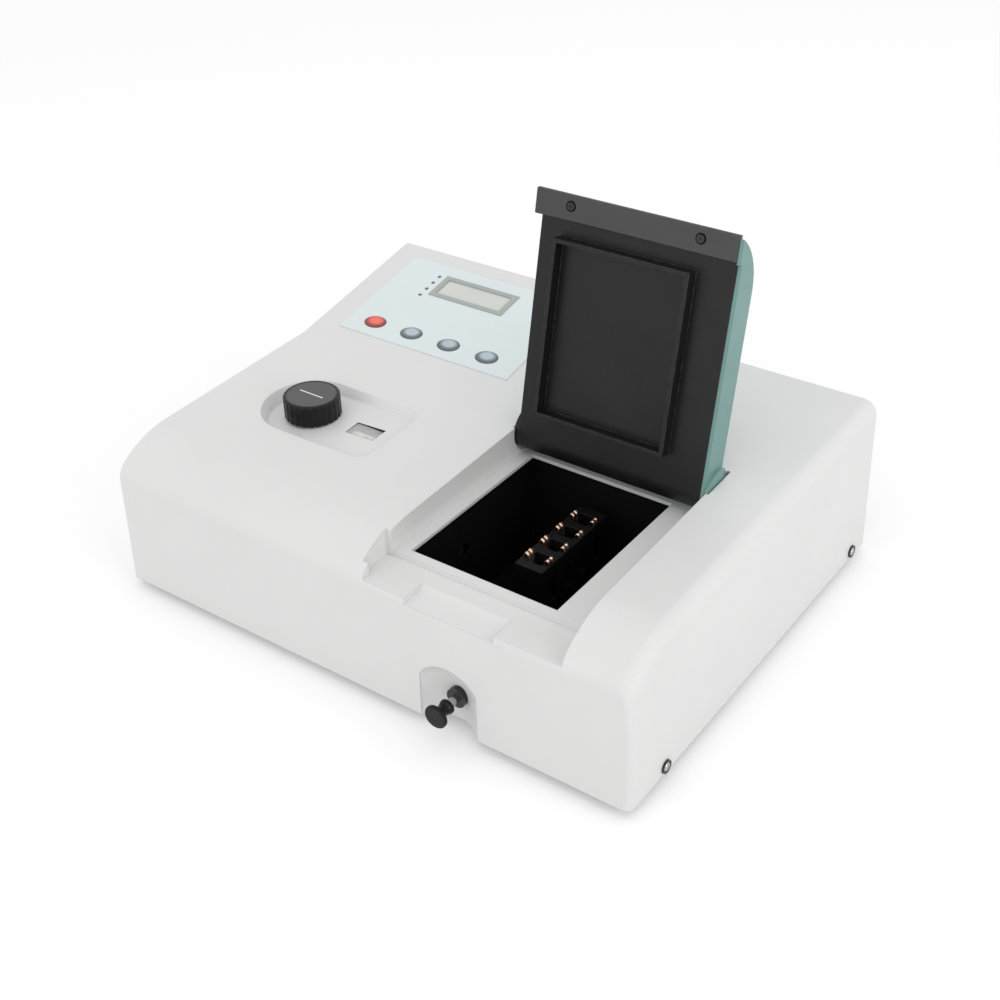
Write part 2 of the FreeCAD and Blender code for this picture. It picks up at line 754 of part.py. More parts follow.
def rear_panel():
    """Sheet rear panel with its foot, the cut-outs for the fittings and the fan's louvres."""
    y1 = rear_plane()
    y0 = y1 - REAR_SHEET
    low = BASE_LIFT + BASE_THICKNESS
    half = REAR_HALF - 0.4
    parts = [box(-half, half, y0, y1, low, REAR_HIGH - 0.4),
             box(-half, half, y0 - 12, y1, low, low + REAR_SHEET)]
    panel = joined(parts)
    cuts = [box(INLET_X - 14, INLET_X + 14, y0 - 1, y1 + 1, INLET_Z - 10.2, INLET_Z + 10.2),
            box(INLET_X - 10.4, INLET_X + 10.4, y0 - 1, y1 + 1, INLET_Z - 15.6, INLET_Z),
            box(SWITCH_X - 11, SWITCH_X + 11, y0 - 1, y1 + 1, INLET_Z - 14, INLET_Z + 14),
            box(PORT_X - 9.5, PORT_X + 9.5, y0 - 1, y1 + 1, INLET_Z - 5, INLET_Z + 5)]
    for index in range(7):
        z = FAN_Z - 24 + index * 8
        reach = math.sqrt((FAN_SIZE / 2 - 2) ** 2 - (z - FAN_Z) ** 2)
        cuts.append(box(FAN_X - reach, FAN_X + reach, y0 - 1, y1 + 1, z - 2, z + 2))
    for side in (-1, 1):
        screw = V(INLET_X + side * 20, y0 - 1, INLET_Z)
        cuts.append(bar(1.7, screw, screw + Y * 4, 12))
    return cut_all(panel, cuts)


def power_inlet():
    """Three-pin appliance inlet with its fuse drawer's slot below."""
    y1 = rear_plane()
    flange = box(INLET_X - 25, INLET_X + 25, y1, y1 + REAR_REACH - 0.4, INLET_Z - 17.5, INLET_Z + 13)
    for side in (-1, 1):
        screw = V(INLET_X + side * 20, y1 - 1, INLET_Z)
        flange = flange.cut(bar(1.7, screw, screw + Y * 5, 12))
    body = box(INLET_X - 13.7, INLET_X + 13.7, y1 - 26, y1 + 0.5, INLET_Z - 9.9, INLET_Z + 9.9)
    mouth_points = [(INLET_X - 11.5, INLET_Z - 7.5), (INLET_X + 11.5, INLET_Z - 7.5),
                    (INLET_X + 11.5, INLET_Z + 3), (INLET_X + 7, INLET_Z + 8),
                    (INLET_X - 7, INLET_Z + 8), (INLET_X - 11.5, INLET_Z + 3)]
    inlet = flange.fuse(body).cut(prism_y(mouth_points, y1 - 16, y1 + 5))
    for x, z in ((-7, -1.5), (7, -1.5), (0, 2.5)):
        inlet = inlet.fuse(box(INLET_X + x - 1, INLET_X + x + 1, y1 - 17, y1 - 5,
                               INLET_Z + z - 2, INLET_Z + z + 2))
    slot = box(INLET_X - 9, INLET_X + 9, y1 - 24, y1 + 5, INLET_Z - 14.2, INLET_Z - 8.6)
    sleeve = box(INLET_X - 10, INLET_X + 10, y1 - 25, y1 + 0.2, INLET_Z - 15.2, INLET_Z - 7.6)
    return inlet.fuse(sleeve).cut(slot).removeSplitter()


def fuse_drawer():
    """Small drawer below the inlet that holds the fuse link."""
    y1 = rear_plane()
    body = box(INLET_X - 8.7, INLET_X + 8.7, y1 - 22, y1 + REAR_REACH - 0.8, INLET_Z - 14.15, INLET_Z - 8.9)
    body = body.cut(box(INLET_X - 7, INLET_X + 7, y1 - 21, y1 - 3, INLET_Z - 12.9, INLET_Z - 8))
    fuse = bar(1.9, V(INLET_X - 7.5, y1 - 12, INLET_Z - 10.95), V(INLET_X + 7.5, y1 - 12, INLET_Z - 10.95), 8)
    return body.fuse(fuse).cut(box(INLET_X - 4, INLET_X + 4, y1, y1 + 5, INLET_Z - 11.9, INLET_Z - 10.9))


def switch_housing():
    """Bezel and body of the mains rocker switch."""
    y1 = rear_plane()
    bezel = box(SWITCH_X - 13, SWITCH_X + 13, y1, y1 + 1.4, INLET_Z - 16, INLET_Z + 16)
    body = box(SWITCH_X - 10.7, SWITCH_X + 10.7, y1 - 18, y1 + 0.5, INLET_Z - 13.7, INLET_Z + 13.7)
    housing = joined([bezel, body]).cut(box(SWITCH_X - 8.5, SWITCH_X + 8.5, y1 - 12, y1 + 3,
                                            INLET_Z - 12.5, INLET_Z + 12.5))
    pivot = V(SWITCH_X - 9.6, y1 - 4, INLET_Z)
    return housing.cut(bar(1.5 + 3 * RUNNING, pivot, pivot + X * 19.2, 12))


def power_rocker():
    """Rocker of the mains switch, pressed in at its lower half when the instrument is off."""
    y1 = rear_plane()
    outline = [(y1 - 1.0, INLET_Z - 11.0), (y1 - 0.6, INLET_Z), (y1 + 1.9, INLET_Z + 11.0),
               (y1 - 6.0, INLET_Z + 6.5), (y1 - 7.5, INLET_Z - 6.5)]
    rocker = prism_x(outline, SWITCH_X - 8.0, SWITCH_X + 8.0)
    start = V(SWITCH_X - 9.4, y1 - 4, INLET_Z)
    return rocker.fuse(bar(1.5, start, start + X * 18.8, 12))


def data_port():
    """Nine-way data connector with its metal shell."""
    y1 = rear_plane()
    outline = [(PORT_X - 8.6, INLET_Z + 4.2), (PORT_X + 8.6, INLET_Z + 4.2), (PORT_X + 7.2, INLET_Z - 4.2),
               (PORT_X - 7.2, INLET_Z - 4.2)]
    flange = box(PORT_X - 15.4, PORT_X + 15.4, y1, y1 + 0.8, INLET_Z - 6.2, INLET_Z + 6.2)
    inner = [(PORT_X + (x - PORT_X) * 0.92, INLET_Z + (z - INLET_Z) * 0.86) for x, z in outline]
    shell = flange.fuse(prism_y(outline, y1 - 8, y1 + REAR_REACH))
    shell = shell.cut(prism_y(inner, y1 - 7, y1 + REAR_REACH + 1))
    for row, count in ((1.4, 5), (-1.4, 4)):
        for index in range(count):
            start = V(PORT_X + (index - (count - 1) / 2) * 2.76, y1 - 7.5, INLET_Z + row)
            shell = shell.fuse(bar(0.6, start, start + Y * 4.8, 4))
    return shell


def fan_frame():
    """Square frame, struts and motor seat of the cooling fan behind the louvres."""
    y1 = rear_plane() - REAR_SHEET
    y0 = y1 - FAN_DEPTH
    half = FAN_SIZE / 2
    frame = box(FAN_X - half, FAN_X + half, y0, y1, FAN_Z - half, FAN_Z + half)
    centre = V(FAN_X, y0, FAN_Z)
    frame = frame.cut(bar(half - 1.5, centre - Y, centre + Y * (FAN_DEPTH + 1), 24))
    seat = bar(11, centre, centre + Y * 2, 16)
    struts = [box(FAN_X - half + 1, FAN_X + half - 1, y0, y0 + 2, FAN_Z - 2, FAN_Z + 2),
              box(FAN_X - 2, FAN_X + 2, y0, y0 + 2, FAN_Z - half + 1, FAN_Z + half - 1)]
    frame = joined([frame, seat] + struts)
    frame = frame.fuse(bar(1.5, centre, centre + Y * 11, 12))
    holes = []
    for x, z in ((-25, -25), (25, -25), (25, 25), (-25, 25)):
        hole = V(FAN_X + x, y0 - 1, FAN_Z + z)
        holes.append(bar(2.0, hole, hole + Y * (FAN_DEPTH + 2), 6))
    return cut_all(frame, holes)


def fan_rotor():
    """Hub with seven raked blades on the fan's pin."""
    y0 = rear_plane() - REAR_SHEET - FAN_DEPTH
    front = V(FAN_X, y0 + 2.5, FAN_Z)
    rotor = bar(11, front, front + Y * 11, 16)
    for index in range(7):
        blade = box(-0.7, 0.7, -6.2, 6.2, 10, FAN_SIZE / 2 - 2.6)
        blade = turned(blade, V(0, 0, 0), Z, 35)
        blade = turned(blade, V(0, 0, 0), Y, index * 360.0 / 7)
        blade.translate(V(FAN_X, y0 + 8, FAN_Z))
        rotor = rotor.fuse(blade)
    return rotor.cut(bar(1.5 + 3 * RUNNING, front - Y, front + Y * 9, 12))


def keypad_overlay():
    """Thin membrane over the console with openings for the keys, display and lamps."""
    high = PANEL_THICKNESS - PANEL_SINK
    sheet = box(PANEL_LEFT, PANEL_RIGHT, PANEL_LOW, PANEL_HIGH, -PANEL_SINK, high)
    cuts = [box(LCD_LEFT - 0.1, LCD_LEFT + LCD_WIDTH + 0.1, LCD_LOW - 0.1, LCD_LOW + LCD_HEIGHT + 0.1, -2, 2)]
    for index in range(len(KEY_NAMES)):
        cuts.append(oval(KEY_LONG + 0.8, KEY_SHORT + 0.8, key_x(index), KEY_U, -2, 2))
    for x, u in lamp_places():
        cuts.append(bar(LAMP_RADIUS + 0.1, V(x, u, -2), V(x, u, 2), LAMP_SIDES))
    return panel_place(cut_all(sheet, cuts))


def lcd_bezel():
    """Frame round the display window."""
    frame = box(LCD_LEFT, LCD_LEFT + LCD_WIDTH, LCD_LOW, LCD_LOW + LCD_HEIGHT, -PANEL_SINK, 1.1)
    window = box(LCD_LEFT + 5.5, LCD_LEFT + LCD_WIDTH - 5.5, LCD_LOW + 4.5, LCD_LOW + LCD_HEIGHT - 4.5, -5, 5)
    seat = box(LCD_LEFT + 4, LCD_LEFT + LCD_WIDTH - 4, LCD_LOW + 3, LCD_LOW + LCD_HEIGHT - 3, -5, 0)
    return panel_place(frame.cut(window).cut(seat))


def lcd_glass():
    """Display glass behind the frame."""
    glass = box(LCD_LEFT + 4.2, LCD_LEFT + LCD_WIDTH - 4.2,
                LCD_LOW + 3.2, LCD_LOW + LCD_HEIGHT - 3.2, -3.5, 0)
    return panel_place(glass)


def status_lamps():
    """Four small round lenses."""
    lamps = []
    for x, u in lamp_places():
        lamps.append(panel_place(bar(LAMP_RADIUS, V(x, u, -5), V(x, u, 0.8), LAMP_SIDES)))
    return group(lamps)


def key(index):
    """Oval key with a soft crown above and a retaining rim below the panel."""
    x = key_x(index)
    crown = PANEL_THICKNESS - PANEL_SINK + 0.9
    cap = oval(KEY_LONG, KEY_SHORT, x, KEY_U, -6.5, crown - 0.6)
    soft = oval(KEY_LONG - 1.6, KEY_SHORT - 1.6, x, KEY_U, crown - 0.7, crown)
    rim = oval(KEY_LONG + 4, KEY_SHORT + 4, x, KEY_U, -5.2, -WALL - RUNNING)
    return panel_place(joined([cap, soft, rim]))


def key_board():
    """Circuit board under the panel with the display module and one tact switch under each key."""
    low = -11.0
    board = box(PANEL_LEFT + 6, PANEL_RIGHT - 6, PANEL_LOW + 2, PANEL_HIGH - 4, low, low + 1.6)
    module = box(LCD_LEFT + 2.5, LCD_LEFT + LCD_WIDTH - 2.5, LCD_LOW + 2.5, LCD_LOW + LCD_HEIGHT - 2.5,
                 low + 1, -3.5)
    parts = [board, module]
    for index in range(len(KEY_NAMES)):
        switch = box(key_x(index) - 3, key_x(index) + 3, KEY_U - 3, KEY_U + 3, low + 1, -6.55 - KEY_TRAVEL)
        parts.append(switch)
    for x, u in lamp_places():
        parts.append(bar(1.0, V(x, u, low + 1), V(x, u, -5)))
    for x in (PANEL_LEFT + 12, PANEL_RIGHT - 12):
        for u in (PANEL_LOW + 8, PANEL_HIGH - 10):
            parts.append(bar(3.0, V(x, u, low + 1), V(x, u, -WALL)))
    return panel_place(joined(parts))


def lid_profile(x0, x1):
    """Closed lid seen from the side: flat back, round nose and round heel, extruded along X."""
    top = LID_PLATE + LID_THICKNESS
    centre_z = top - LID_NOSE_RADIUS
    low = LID_PLATE - LID_CURL
    tip = math.asin((low - centre_z) / LID_NOSE_RADIUS)
    middle = (tip + math.pi / 2) / 2
    heel = HINGE_Z - LID_PLATE
    fall = math.acos(LID_HEEL / heel)

    def on_nose(angle):
        return V(x0, LID_NOSE_Y - LID_NOSE_RADIUS * math.cos(angle),
                 centre_z + LID_NOSE_RADIUS * math.sin(angle))

    def on_heel(angle):
        return V(x0, HINGE_Y + heel * math.cos(angle), HINGE_Z - heel * math.sin(angle))

    corner = V(x0, HINGE_Y + LID_HEEL, top)
    step_low = V(x0, LIP_FRONT + LIP_LENGTH + 1, low)
    step_high = V(x0, LIP_FRONT + LIP_LENGTH + 1, LID_PLATE)
    edges = [Part.Arc(on_nose(math.pi / 2), on_nose(middle), on_nose(tip)).toShape(),
             Part.makeLine(on_nose(tip), step_low),
             Part.makeLine(step_low, step_high),
             Part.makeLine(step_high, on_heel(math.pi / 2)),
             Part.Arc(on_heel(math.pi / 2), on_heel((math.pi / 2 + fall) / 2), on_heel(fall)).toShape(),
             Part.makeLine(on_heel(fall), corner),
             Part.makeLine(corner, on_nose(math.pi / 2))]
    return Part.Face(Part.Wire(edges)).extrude(V(x1 - x0, 0, 0))


def lid_hollow():
    """Space inside the lid's shell, open towards the chamber."""
    x0 = LID_LEFT + LID_WALL
    top = LID_PLATE + LID_THICKNESS - LID_WALL
    centre_z = LID_PLATE + LID_THICKNESS - LID_NOSE_RADIUS
    radius = LID_NOSE_RADIUS - LID_WALL
    low = LID_PLATE - LID_CURL - 5
    tip = math.asin((low - centre_z) / radius)
    middle = (tip + math.pi / 2) / 2
    heel = HINGE_Z - LID_PLATE - LID_WALL
    reach = LID_HEEL - LID_WALL
    fall = math.acos(reach / heel)

    def on_nose(angle):
        return V(x0, LID_NOSE_Y - radius * math.cos(angle), centre_z + radius * math.sin(angle))

    def on_heel(angle):
        return V(x0, HINGE_Y + heel * math.cos(angle), HINGE_Z - heel * math.sin(angle))

    corner = V(x0, HINGE_Y + reach, top)
    mouth_low = V(x0, HINGE_Y - 3, low)
    mouth_high = V(x0, HINGE_Y - 3, LID_PLATE + LID_WALL)
    edges = [Part.Arc(on_nose(math.pi / 2), on_nose(middle), on_nose(tip)).toShape(),
             Part.makeLine(on_nose(tip), mouth_low),
             Part.makeLine(mouth_low, mouth_high),
             Part.makeLine(mouth_high, on_heel(math.pi / 2)),
             Part.Arc(on_heel(math.pi / 2), on_heel((math.pi / 2 + fall) / 2), on_heel(fall)).toShape(),
             Part.makeLine(on_heel(fall), corner),
             Part.makeLine(corner, on_nose(math.pi / 2))]
    return Part.Face(Part.Wire(edges)).extrude(V(LID_RIGHT - LID_WALL - x0, 0, 0))


def opened(shape):
    """Turn a lid piece from closed to the raised position of the photograph."""
    return turned(shape, V(0, HINGE_Y, HINGE_Z), X, -LID_OPEN)


def heel_zone():
    """Lower rear of the lid, which the liner makes and the shell leaves free."""
    return box(LID_LEFT - 1, LID_RIGHT - LID_WALL, HINGE_Y - 9, HINGE_Y + 20, 80, HINGE_Z - PIN_BOSS - 2)


def lip_screw_bores():
    """Bores for the lip's two screws, through the liner and into the shell."""
    bores = []
    for x in (LIP_SCREW_X, LIP_SCREW_X + LIP_SCREW_SPACING):
        low = V(x, LIP_SCREW_Y, LID_PLATE - LIP_THICKNESS - 1)
        bores.append(bar(1.5, low, V(x, LIP_SCREW_Y, LID_PLATE + LINER_THICKNESS + 0.2), 12))
    return bores


def pin_bore():
    """Bore of the hinge pins."""
    start = V(0, HINGE_Y, HINGE_Z)
    return rod(PIN_RADIUS + RUNNING, start, start + X * 200)


def lid_shell():
    """Moulded outer shell of the lid with the hinge bosses and the right-hand cheek."""
    shell = lid_profile(LID_LEFT, LID_RIGHT).cut(lid_hollow())
    hinge = V(0, HINGE_Y, HINGE_Z)
    bosses = [rod(PIN_BOSS, hinge + X * LID_LEFT, hinge + X * (LID_LEFT + 8)),
              rod(PIN_BOSS, hinge + X * (LID_RIGHT - 8), hinge + X * LID_RIGHT)]
    for boss in bosses:
        shell = shell.fuse(boss.common(lid_profile(LID_LEFT, LID_RIGHT)))
    cheek = rod(CHEEK_RADIUS, hinge + X * LID_RIGHT, hinge + X * (CHANNEL_RIGHT + CHEEK_GAP))
    shell = shell.fuse(cheek.common(lid_profile(LID_RIGHT, CHANNEL_RIGHT + 5)))
    inner_right = LID_RIGHT - LID_WALL
    cuts = [heel_zone(), pin_bore(),
            box(LID_LEFT - 1, inner_right, 0, LIP_FRONT + LIP_LENGTH + 1, 80, LID_PLATE),
            box(LID_LEFT - 1, LID_LEFT + LID_WALL + 1, LIP_FRONT + 8, HINGE_Y, 80,
                LID_PLATE + LINER_THICKNESS)]
    return opened(cut_all(shell, cuts + lip_screw_bores()).removeSplitter())


def lid_liner():
    """Black inner plate with the raised light frame, the round heel and the left-hand cheek."""
    right = LID_RIGHT - LID_WALL
    front = LIP_FRONT + 8
    plate = box(LID_LEFT, right, front, HINGE_Y - 3, LID_PLATE, LID_PLATE + LINER_THICKNESS)
    low = LID_PLATE - FRAME_DEPTH
    frame = box(FRAME_LEFT, FRAME_RIGHT, FRAME_FRONT, FRAME_REAR, low, LID_PLATE)
    inside = box(FRAME_LEFT + FRAME_WALL, FRAME_RIGHT - FRAME_WALL, FRAME_FRONT + FRAME_WALL,
                 FRAME_REAR - FRAME_WALL, low - 1, LID_PLATE)
    hinge = V(0, HINGE_Y, HINGE_Z)
    cheek = rod(CHEEK_RADIUS, hinge + X * (CHANNEL_LEFT - CHEEK_GAP), hinge + X * LID_LEFT)
    cheek = cheek.common(lid_profile(CHANNEL_LEFT - 5, LID_LEFT))
    heel = lid_profile(LID_LEFT, right).cut(lid_hollow().fuse(side_slots()))
    liner = joined([plate, frame.cut(inside), heel.common(heel_zone()), cheek])
    return opened(cut_all(liner, [pin_bore()] + lip_screw_bores()))


def side_slots():
    """Widens the hollow to the lid's left side, so that the heel is open behind its skin."""
    heel = HINGE_Z - LID_PLATE - LID_WALL
    hinge = V(0, HINGE_Y, HINGE_Z)
    return rod(heel, hinge + X * (LID_LEFT + LID_WALL), hinge + X * (LID_LEFT + LID_WALL + 2))


def lid_lip():
    """Light strip across the free edge of the lid, the part that the finger lifts."""
    right = LID_RIGHT - LID_WALL - 0.1
    low = LID_PLATE - LIP_THICKNESS
    rear = LIP_FRONT + LIP_LENGTH
    outline = [(LIP_FRONT, low + 0.8), (LIP_FRONT + 0.8, low), (rear - 0.8, low), (rear, low + 0.8),
               (rear, LID_PLATE), (LIP_FRONT, LID_PLATE)]
    strip = prism_x(outline, LIP_LEFT, right)
    for x in (LIP_SCREW_X, LIP_SCREW_X + LIP_SCREW_SPACING):
        place = V(x, LIP_SCREW_Y, low)
        strip = strip.cut(bar(1.5, place - Z, place + Z * 6, 12))
        strip = strip.cut(bar(4.0, place - Z, place + Z * 1.3, 24))
    return opened(strip)


def lid_screws():
    """Two cross-slotted screws through the lip."""
    screws = []
    for x in (LIP_SCREW_X, LIP_SCREW_X + LIP_SCREW_SPACING):
        seat = V(x, LIP_SCREW_Y, LID_PLATE - LIP_THICKNESS + 1.3)
        head = tapered(3.6, 2.8, seat, seat - Z * 1.7, 20)
        shank = bar(1.5, seat, V(x, LIP_SCREW_Y, LID_PLATE + LINER_THICKNESS), 12)
        low = seat.z - 1.7
        screw = head.fuse(shank)
        screw = screw.cut(box(x - 1.8, x + 1.8, LIP_SCREW_Y - 0.35, LIP_SCREW_Y + 0.35, low - 1, low + 0.7))
        screw = screw.cut(box(x - 0.35, x + 0.35, LIP_SCREW_Y - 1.8, LIP_SCREW_Y + 1.8, low - 1, low + 0.7))
        screws.append(opened(screw))
    return group(screws)


def hinge_pins():
    """Two steel pins on which the lid turns."""
    left = V(CHANNEL_LEFT - TRAY - 3, HINGE_Y, HINGE_Z)
    right = V(CHANNEL_RIGHT + TRAY + 2, HINGE_Y, HINGE_Z)
    return group([rod(PIN_RADIUS, left, left + X * 17), rod(PIN_RADIUS, right - X * 14, right)])


def turned_profile(points, axis_point, along, across):
    """Solid of revolution from (run, radius) points; along is the axis and across a radius."""
    corners = [axis_point + along * run + across * radius for run, radius in points]
    face = Part.Face(Part.makePolygon(corners + corners[:1]))
    return face.revolve(axis_point, along, 360)


def rod_bush():
    """Collar and nut that carry the pull rod in the back of the arch."""
    place = V(ROD_X, 0, ROD_Z)
    collar = rod(BUSH_RADIUS, place + Y * (ARCH_DEPTH - BUSH_LENGTH), place + Y * (ARCH_DEPTH + 2))
    collar = collar.common(arch_body(0))
    back = ARCH_DEPTH + WALL
    nut = bar(BUSH_RADIUS + 1, place + Y * (back - 4), place + Y * (back + 3)).cut(arch_body(WALL))
    stem = rod(BUSH_RADIUS - 2, place + Y * (ARCH_DEPTH - 2), place + Y * (back + 3))
    bush = joined([collar, nut, stem])
    return bush.cut(rod(ROD_RADIUS + RUNNING, place, place + Y * 40))


def pull_rod():
    """Rod that pulls the cell carriage, in its bore."""
    place = V(ROD_X, 0, ROD_Z)
    return rod(ROD_RADIUS, place - Y * 4, place + Y * (RACK_FRONT + 10))


def rod_knob():
    """Black knob with a flat disc and a waisted neck."""
    start = V(ROD_X, -ROD_REACH, ROD_Z)
    wide = ROD_KNOB_RADIUS
    outline = [(0, 0), (0, wide - 0.8), (0.8, wide), (2.8, wide), (3.8, wide - 1.6), (5.4, wide - 3.4),
               (8.0, wide - 4.6), (10.5, wide - 4.4), (ROD_KNOB_LENGTH - 2, wide - 3.4),
               (ROD_KNOB_LENGTH, wide - 3.2), (ROD_KNOB_LENGTH, 0)]
    knob = turned_profile(outline, start, Y, Z)
    return knob.cut(rod(ROD_RADIUS, start + Y * (ROD_REACH - 4), start + Y * (ROD_KNOB_LENGTH + 2)))


def guide_x():
    """Middles of the two guide rods."""
    return (ROD_X - GUIDE_SPACING / 2, ROD_X + GUIDE_SPACING / 2)


def chamber_form(inset):
    """Sample chamber box, lower at the front to pass under the finger step."""
    return joined([box(CHAMBER_LEFT + inset, CHAMBER_RIGHT - inset,
                       CHAMBER_FRONT + inset, CHAMBER_REAR - inset,
                       CHAMBER_FLOOR + inset, CHAMBER_STEP_Z - inset),
                   box(CHAMBER_LEFT + inset, CHAMBER_RIGHT - inset, CHAMBER_STEP_Y + inset,
                       CHAMBER_REAR - inset, CHAMBER_FLOOR + inset, LEDGE - TRAY)])


def chamber_liner():
    """Folded sheet walls of the sample chamber with beam windows and the rods' holes."""
    liner = chamber_form(-SHEET).cut(chamber_form(0).fuse(box(CHAMBER_LEFT, CHAMBER_RIGHT, CHAMBER_STEP_Y,
                                                              CHAMBER_REAR, 60, LEDGE)))
    for x in (CHAMBER_LEFT + 12, CHAMBER_RIGHT - 12):
        for y in (CHAMBER_FRONT + 14, CHAMBER_REAR - 14):
            low = V(x, y, BASE_LIFT + BASE_THICKNESS)
            liner = liner.fuse(bar(4, low, V(x, y, CHAMBER_FLOOR - SHEET)))
    cuts = [bar(6, V(CHAMBER_LEFT - 5, BEAM_Y, BEAM_Z), V(CHAMBER_RIGHT + 5, BEAM_Y, BEAM_Z), 24),
            bar(ROD_RADIUS + 1, V(ROD_X, CHAMBER_FRONT - 5, ROD_Z), V(ROD_X, CHAMBER_FRONT + 5, ROD_Z), 24)]
    for x in guide_x():
        cuts.append(bar(GUIDE_RADIUS, V(x, CHAMBER_FRONT - 5, GUIDE_Z), V(x, CHAMBER_REAR + 5, GUIDE_Z), 24))
    return cut_all(liner, cuts)


def guide_rods():
    """Two steel rods along the chamber's floor that guide the carriage."""
    rods = []
    for x in guide_x():
        start = V(x, CHAMBER_FRONT - SHEET, GUIDE_Z)
        rods.append(bar(GUIDE_RADIUS, start, V(x, CHAMBER_REAR + SHEET, GUIDE_Z), 24))
    return group(rods)


def cell_carriage():
    """Block that slides on the guide rods, notched along one side for the detent."""
    y0 = RACK_FRONT + 2
    y1 = RACK_FRONT + CELLS * CELL_PITCH + 6
    half = GUIDE_SPACING / 2 + 6
    block = box(ROD_X - half, ROD_X + half, y0, y1, GUIDE_Z - 6, RACK_BOTTOM)
    cuts = [rod(ROD_RADIUS, V(ROD_X, y0 - 1, ROD_Z), V(ROD_X, RACK_FRONT + 10, ROD_Z))]
    for x in guide_x():
        cuts.append(bar(GUIDE_RADIUS + RUNNING, V(x, y0 - 1, GUIDE_Z), V(x, y1 + 1, GUIDE_Z), 24))
    right = ROD_X + half
    for index in range(CELLS):
        y = BEAM_Y + index * CELL_PITCH
        cuts.append(prism_z([(right + 1, y - 3), (right - 2, y), (right + 1, y + 3)], 0, 60))
    return cut_all(block, cuts)


def cell_rack():
    """Black rack with four pockets for ten-millimetre cells, beam windows and spring slots."""
    half = RACK_WIDTH / 2
    y1 = RACK_FRONT + CELLS * CELL_PITCH + 8
    rack = box(ROD_X - half, ROD_X + half, RACK_FRONT, y1, RACK_BOTTOM, RACK_TOP)
    cuts = []
    for index in range(CELLS):
        y = BEAM_Y + index * CELL_PITCH
        reach = CELL / 2
        cuts.append(box(ROD_X - reach, ROD_X + reach, y - reach, y + reach,
                        RACK_TOP - CELL_DEPTH, RACK_TOP + 1))
        cuts.append(box(ROD_X - reach - 1.4, ROD_X + reach + 1.4, y - 4.2, y + 4.2, BEAM_Z - 2, RACK_TOP + 1))
        cuts.append(box(ROD_X - half - 1, ROD_X + half + 1, y - 3.5, y + 3.5, BEAM_Z - 12, BEAM_Z + 8))
    return cut_all(rack, cuts)


def ribbon(points, thickness):
    """Outline of a strip of even thickness along an open line of points."""
    sides = ([], [])
    last = len(points) - 1
    for index, (u, v) in enumerate(points):
        before = points[max(index - 1, 0)]
        after = points[min(index + 1, last)]
        run = math.hypot(after[0] - before[0], after[1] - before[1])
        normal = ((before[1] - after[1]) / run, (after[0] - before[0]) / run)
        for side, sign in zip(sides, (1, -1)):
            side.append((u + sign * normal[0] * thickness / 2, v + sign * normal[1] * thickness / 2))
    return sides[0] + sides[1][::-1]


def cell_springs():
    """Bent copper leaves that grip the cells, two at each pocket."""
    leaves = []
    thickness = 0.4
    middle_line = [(7.5, BEAM_Z + 2), (6.8, BEAM_Z + 10), (7.2, RACK_TOP), (8.2, RACK_TOP + 2.6),
                   (9.6, RACK_TOP + 3.2), (10.9, RACK_TOP + 0.2)]
    for index in range(CELLS):
        y = BEAM_Y + index * CELL_PITCH
        for side in (-1, 1):
            outline = [(ROD_X + side * x, z) for x, z in ribbon(middle_line, thickness)]
            leaves.append(prism_y(outline, y - 4, y + 4))
    return group(leaves)


def detent_spring():
    """Leaf beside the carriage whose bump marks the four cell positions."""
    side = ROD_X + GUIDE_SPACING / 2 + 6
    bump_y = BEAM_Y
    outline = [(side + 0.4, bump_y - 1), (side + 0.4, bump_y + 1), (side + 3, bump_y + 8),
               (side + 3, bump_y + 30), (side + 3.8, bump_y + 30), (side + 3.8, bump_y - 10),
               (side + 3, bump_y - 10), (side + 3, bump_y - 8)]
    leaf = prism_z(outline, CHAMBER_FLOOR + 2, RACK_BOTTOM - 5)
    foot = box(side + 3, side + 14, bump_y + 20, bump_y + 30, CHAMBER_FLOOR, CHAMBER_FLOOR + 2)
    return joined([leaf, foot])


def detector_housing():
    """Light-tight block on the chamber's right wall in front of the photodiode."""
    x0 = CHAMBER_RIGHT + SHEET
    block = box(x0, x0 + 40, BEAM_Y - 20, BEAM_Y + 20, BEAM_Z - 20, BEAM_Z + 20)
    place = V(x0 - 1, BEAM_Y, BEAM_Z)
    block = block.cut(bar(8, place, place + X * 25, 16))
    return block.cut(bar(10, place + X * 20, place + X * 50, 16))


def photodiode():
    """Silicon photodiode in its metal can, on a small board that closes the housing."""
    x0 = CHAMBER_RIGHT + SHEET + 24
    place = V(x0, BEAM_Y, BEAM_Z)
    can = bar(6, place, place + X * 14, 16)
    brim = bar(10, place + X * 12, place + X * 16, 16)
    board = box(x0 + 16, x0 + 17.6, BEAM_Y - 16, BEAM_Y + 16, BEAM_Z - 16, BEAM_Z + 16)
    return joined([can, brim, board])


def dimpled_outline(z):
    """Closed outline of a round knob with a row of concave finger dimples."""
    def polar(radius, angle):
        return V(KNOB_X + radius * math.cos(angle), KNOB_Y + radius * math.sin(angle), z)

    reach = KNOB_RADIUS + DIMPLE_RADIUS - DIMPLE_DEPTH
    share = (KNOB_RADIUS ** 2 + reach ** 2 - DIMPLE_RADIUS ** 2) / (2 * KNOB_RADIUS * reach)
    half = math.acos(share)
    corners = []
    for index in range(KNOB_DIMPLES):
        middle = index * 2 * math.pi / KNOB_DIMPLES
        for step in (-1.0, -0.5, 0.0, 0.5, 1.0):
            depth = DIMPLE_DEPTH * (1 - step ** 2)
            corners.append(polar(KNOB_RADIUS - depth, middle + step * half))
    return Part.Face(Part.makePolygon(corners + corners[:1]))


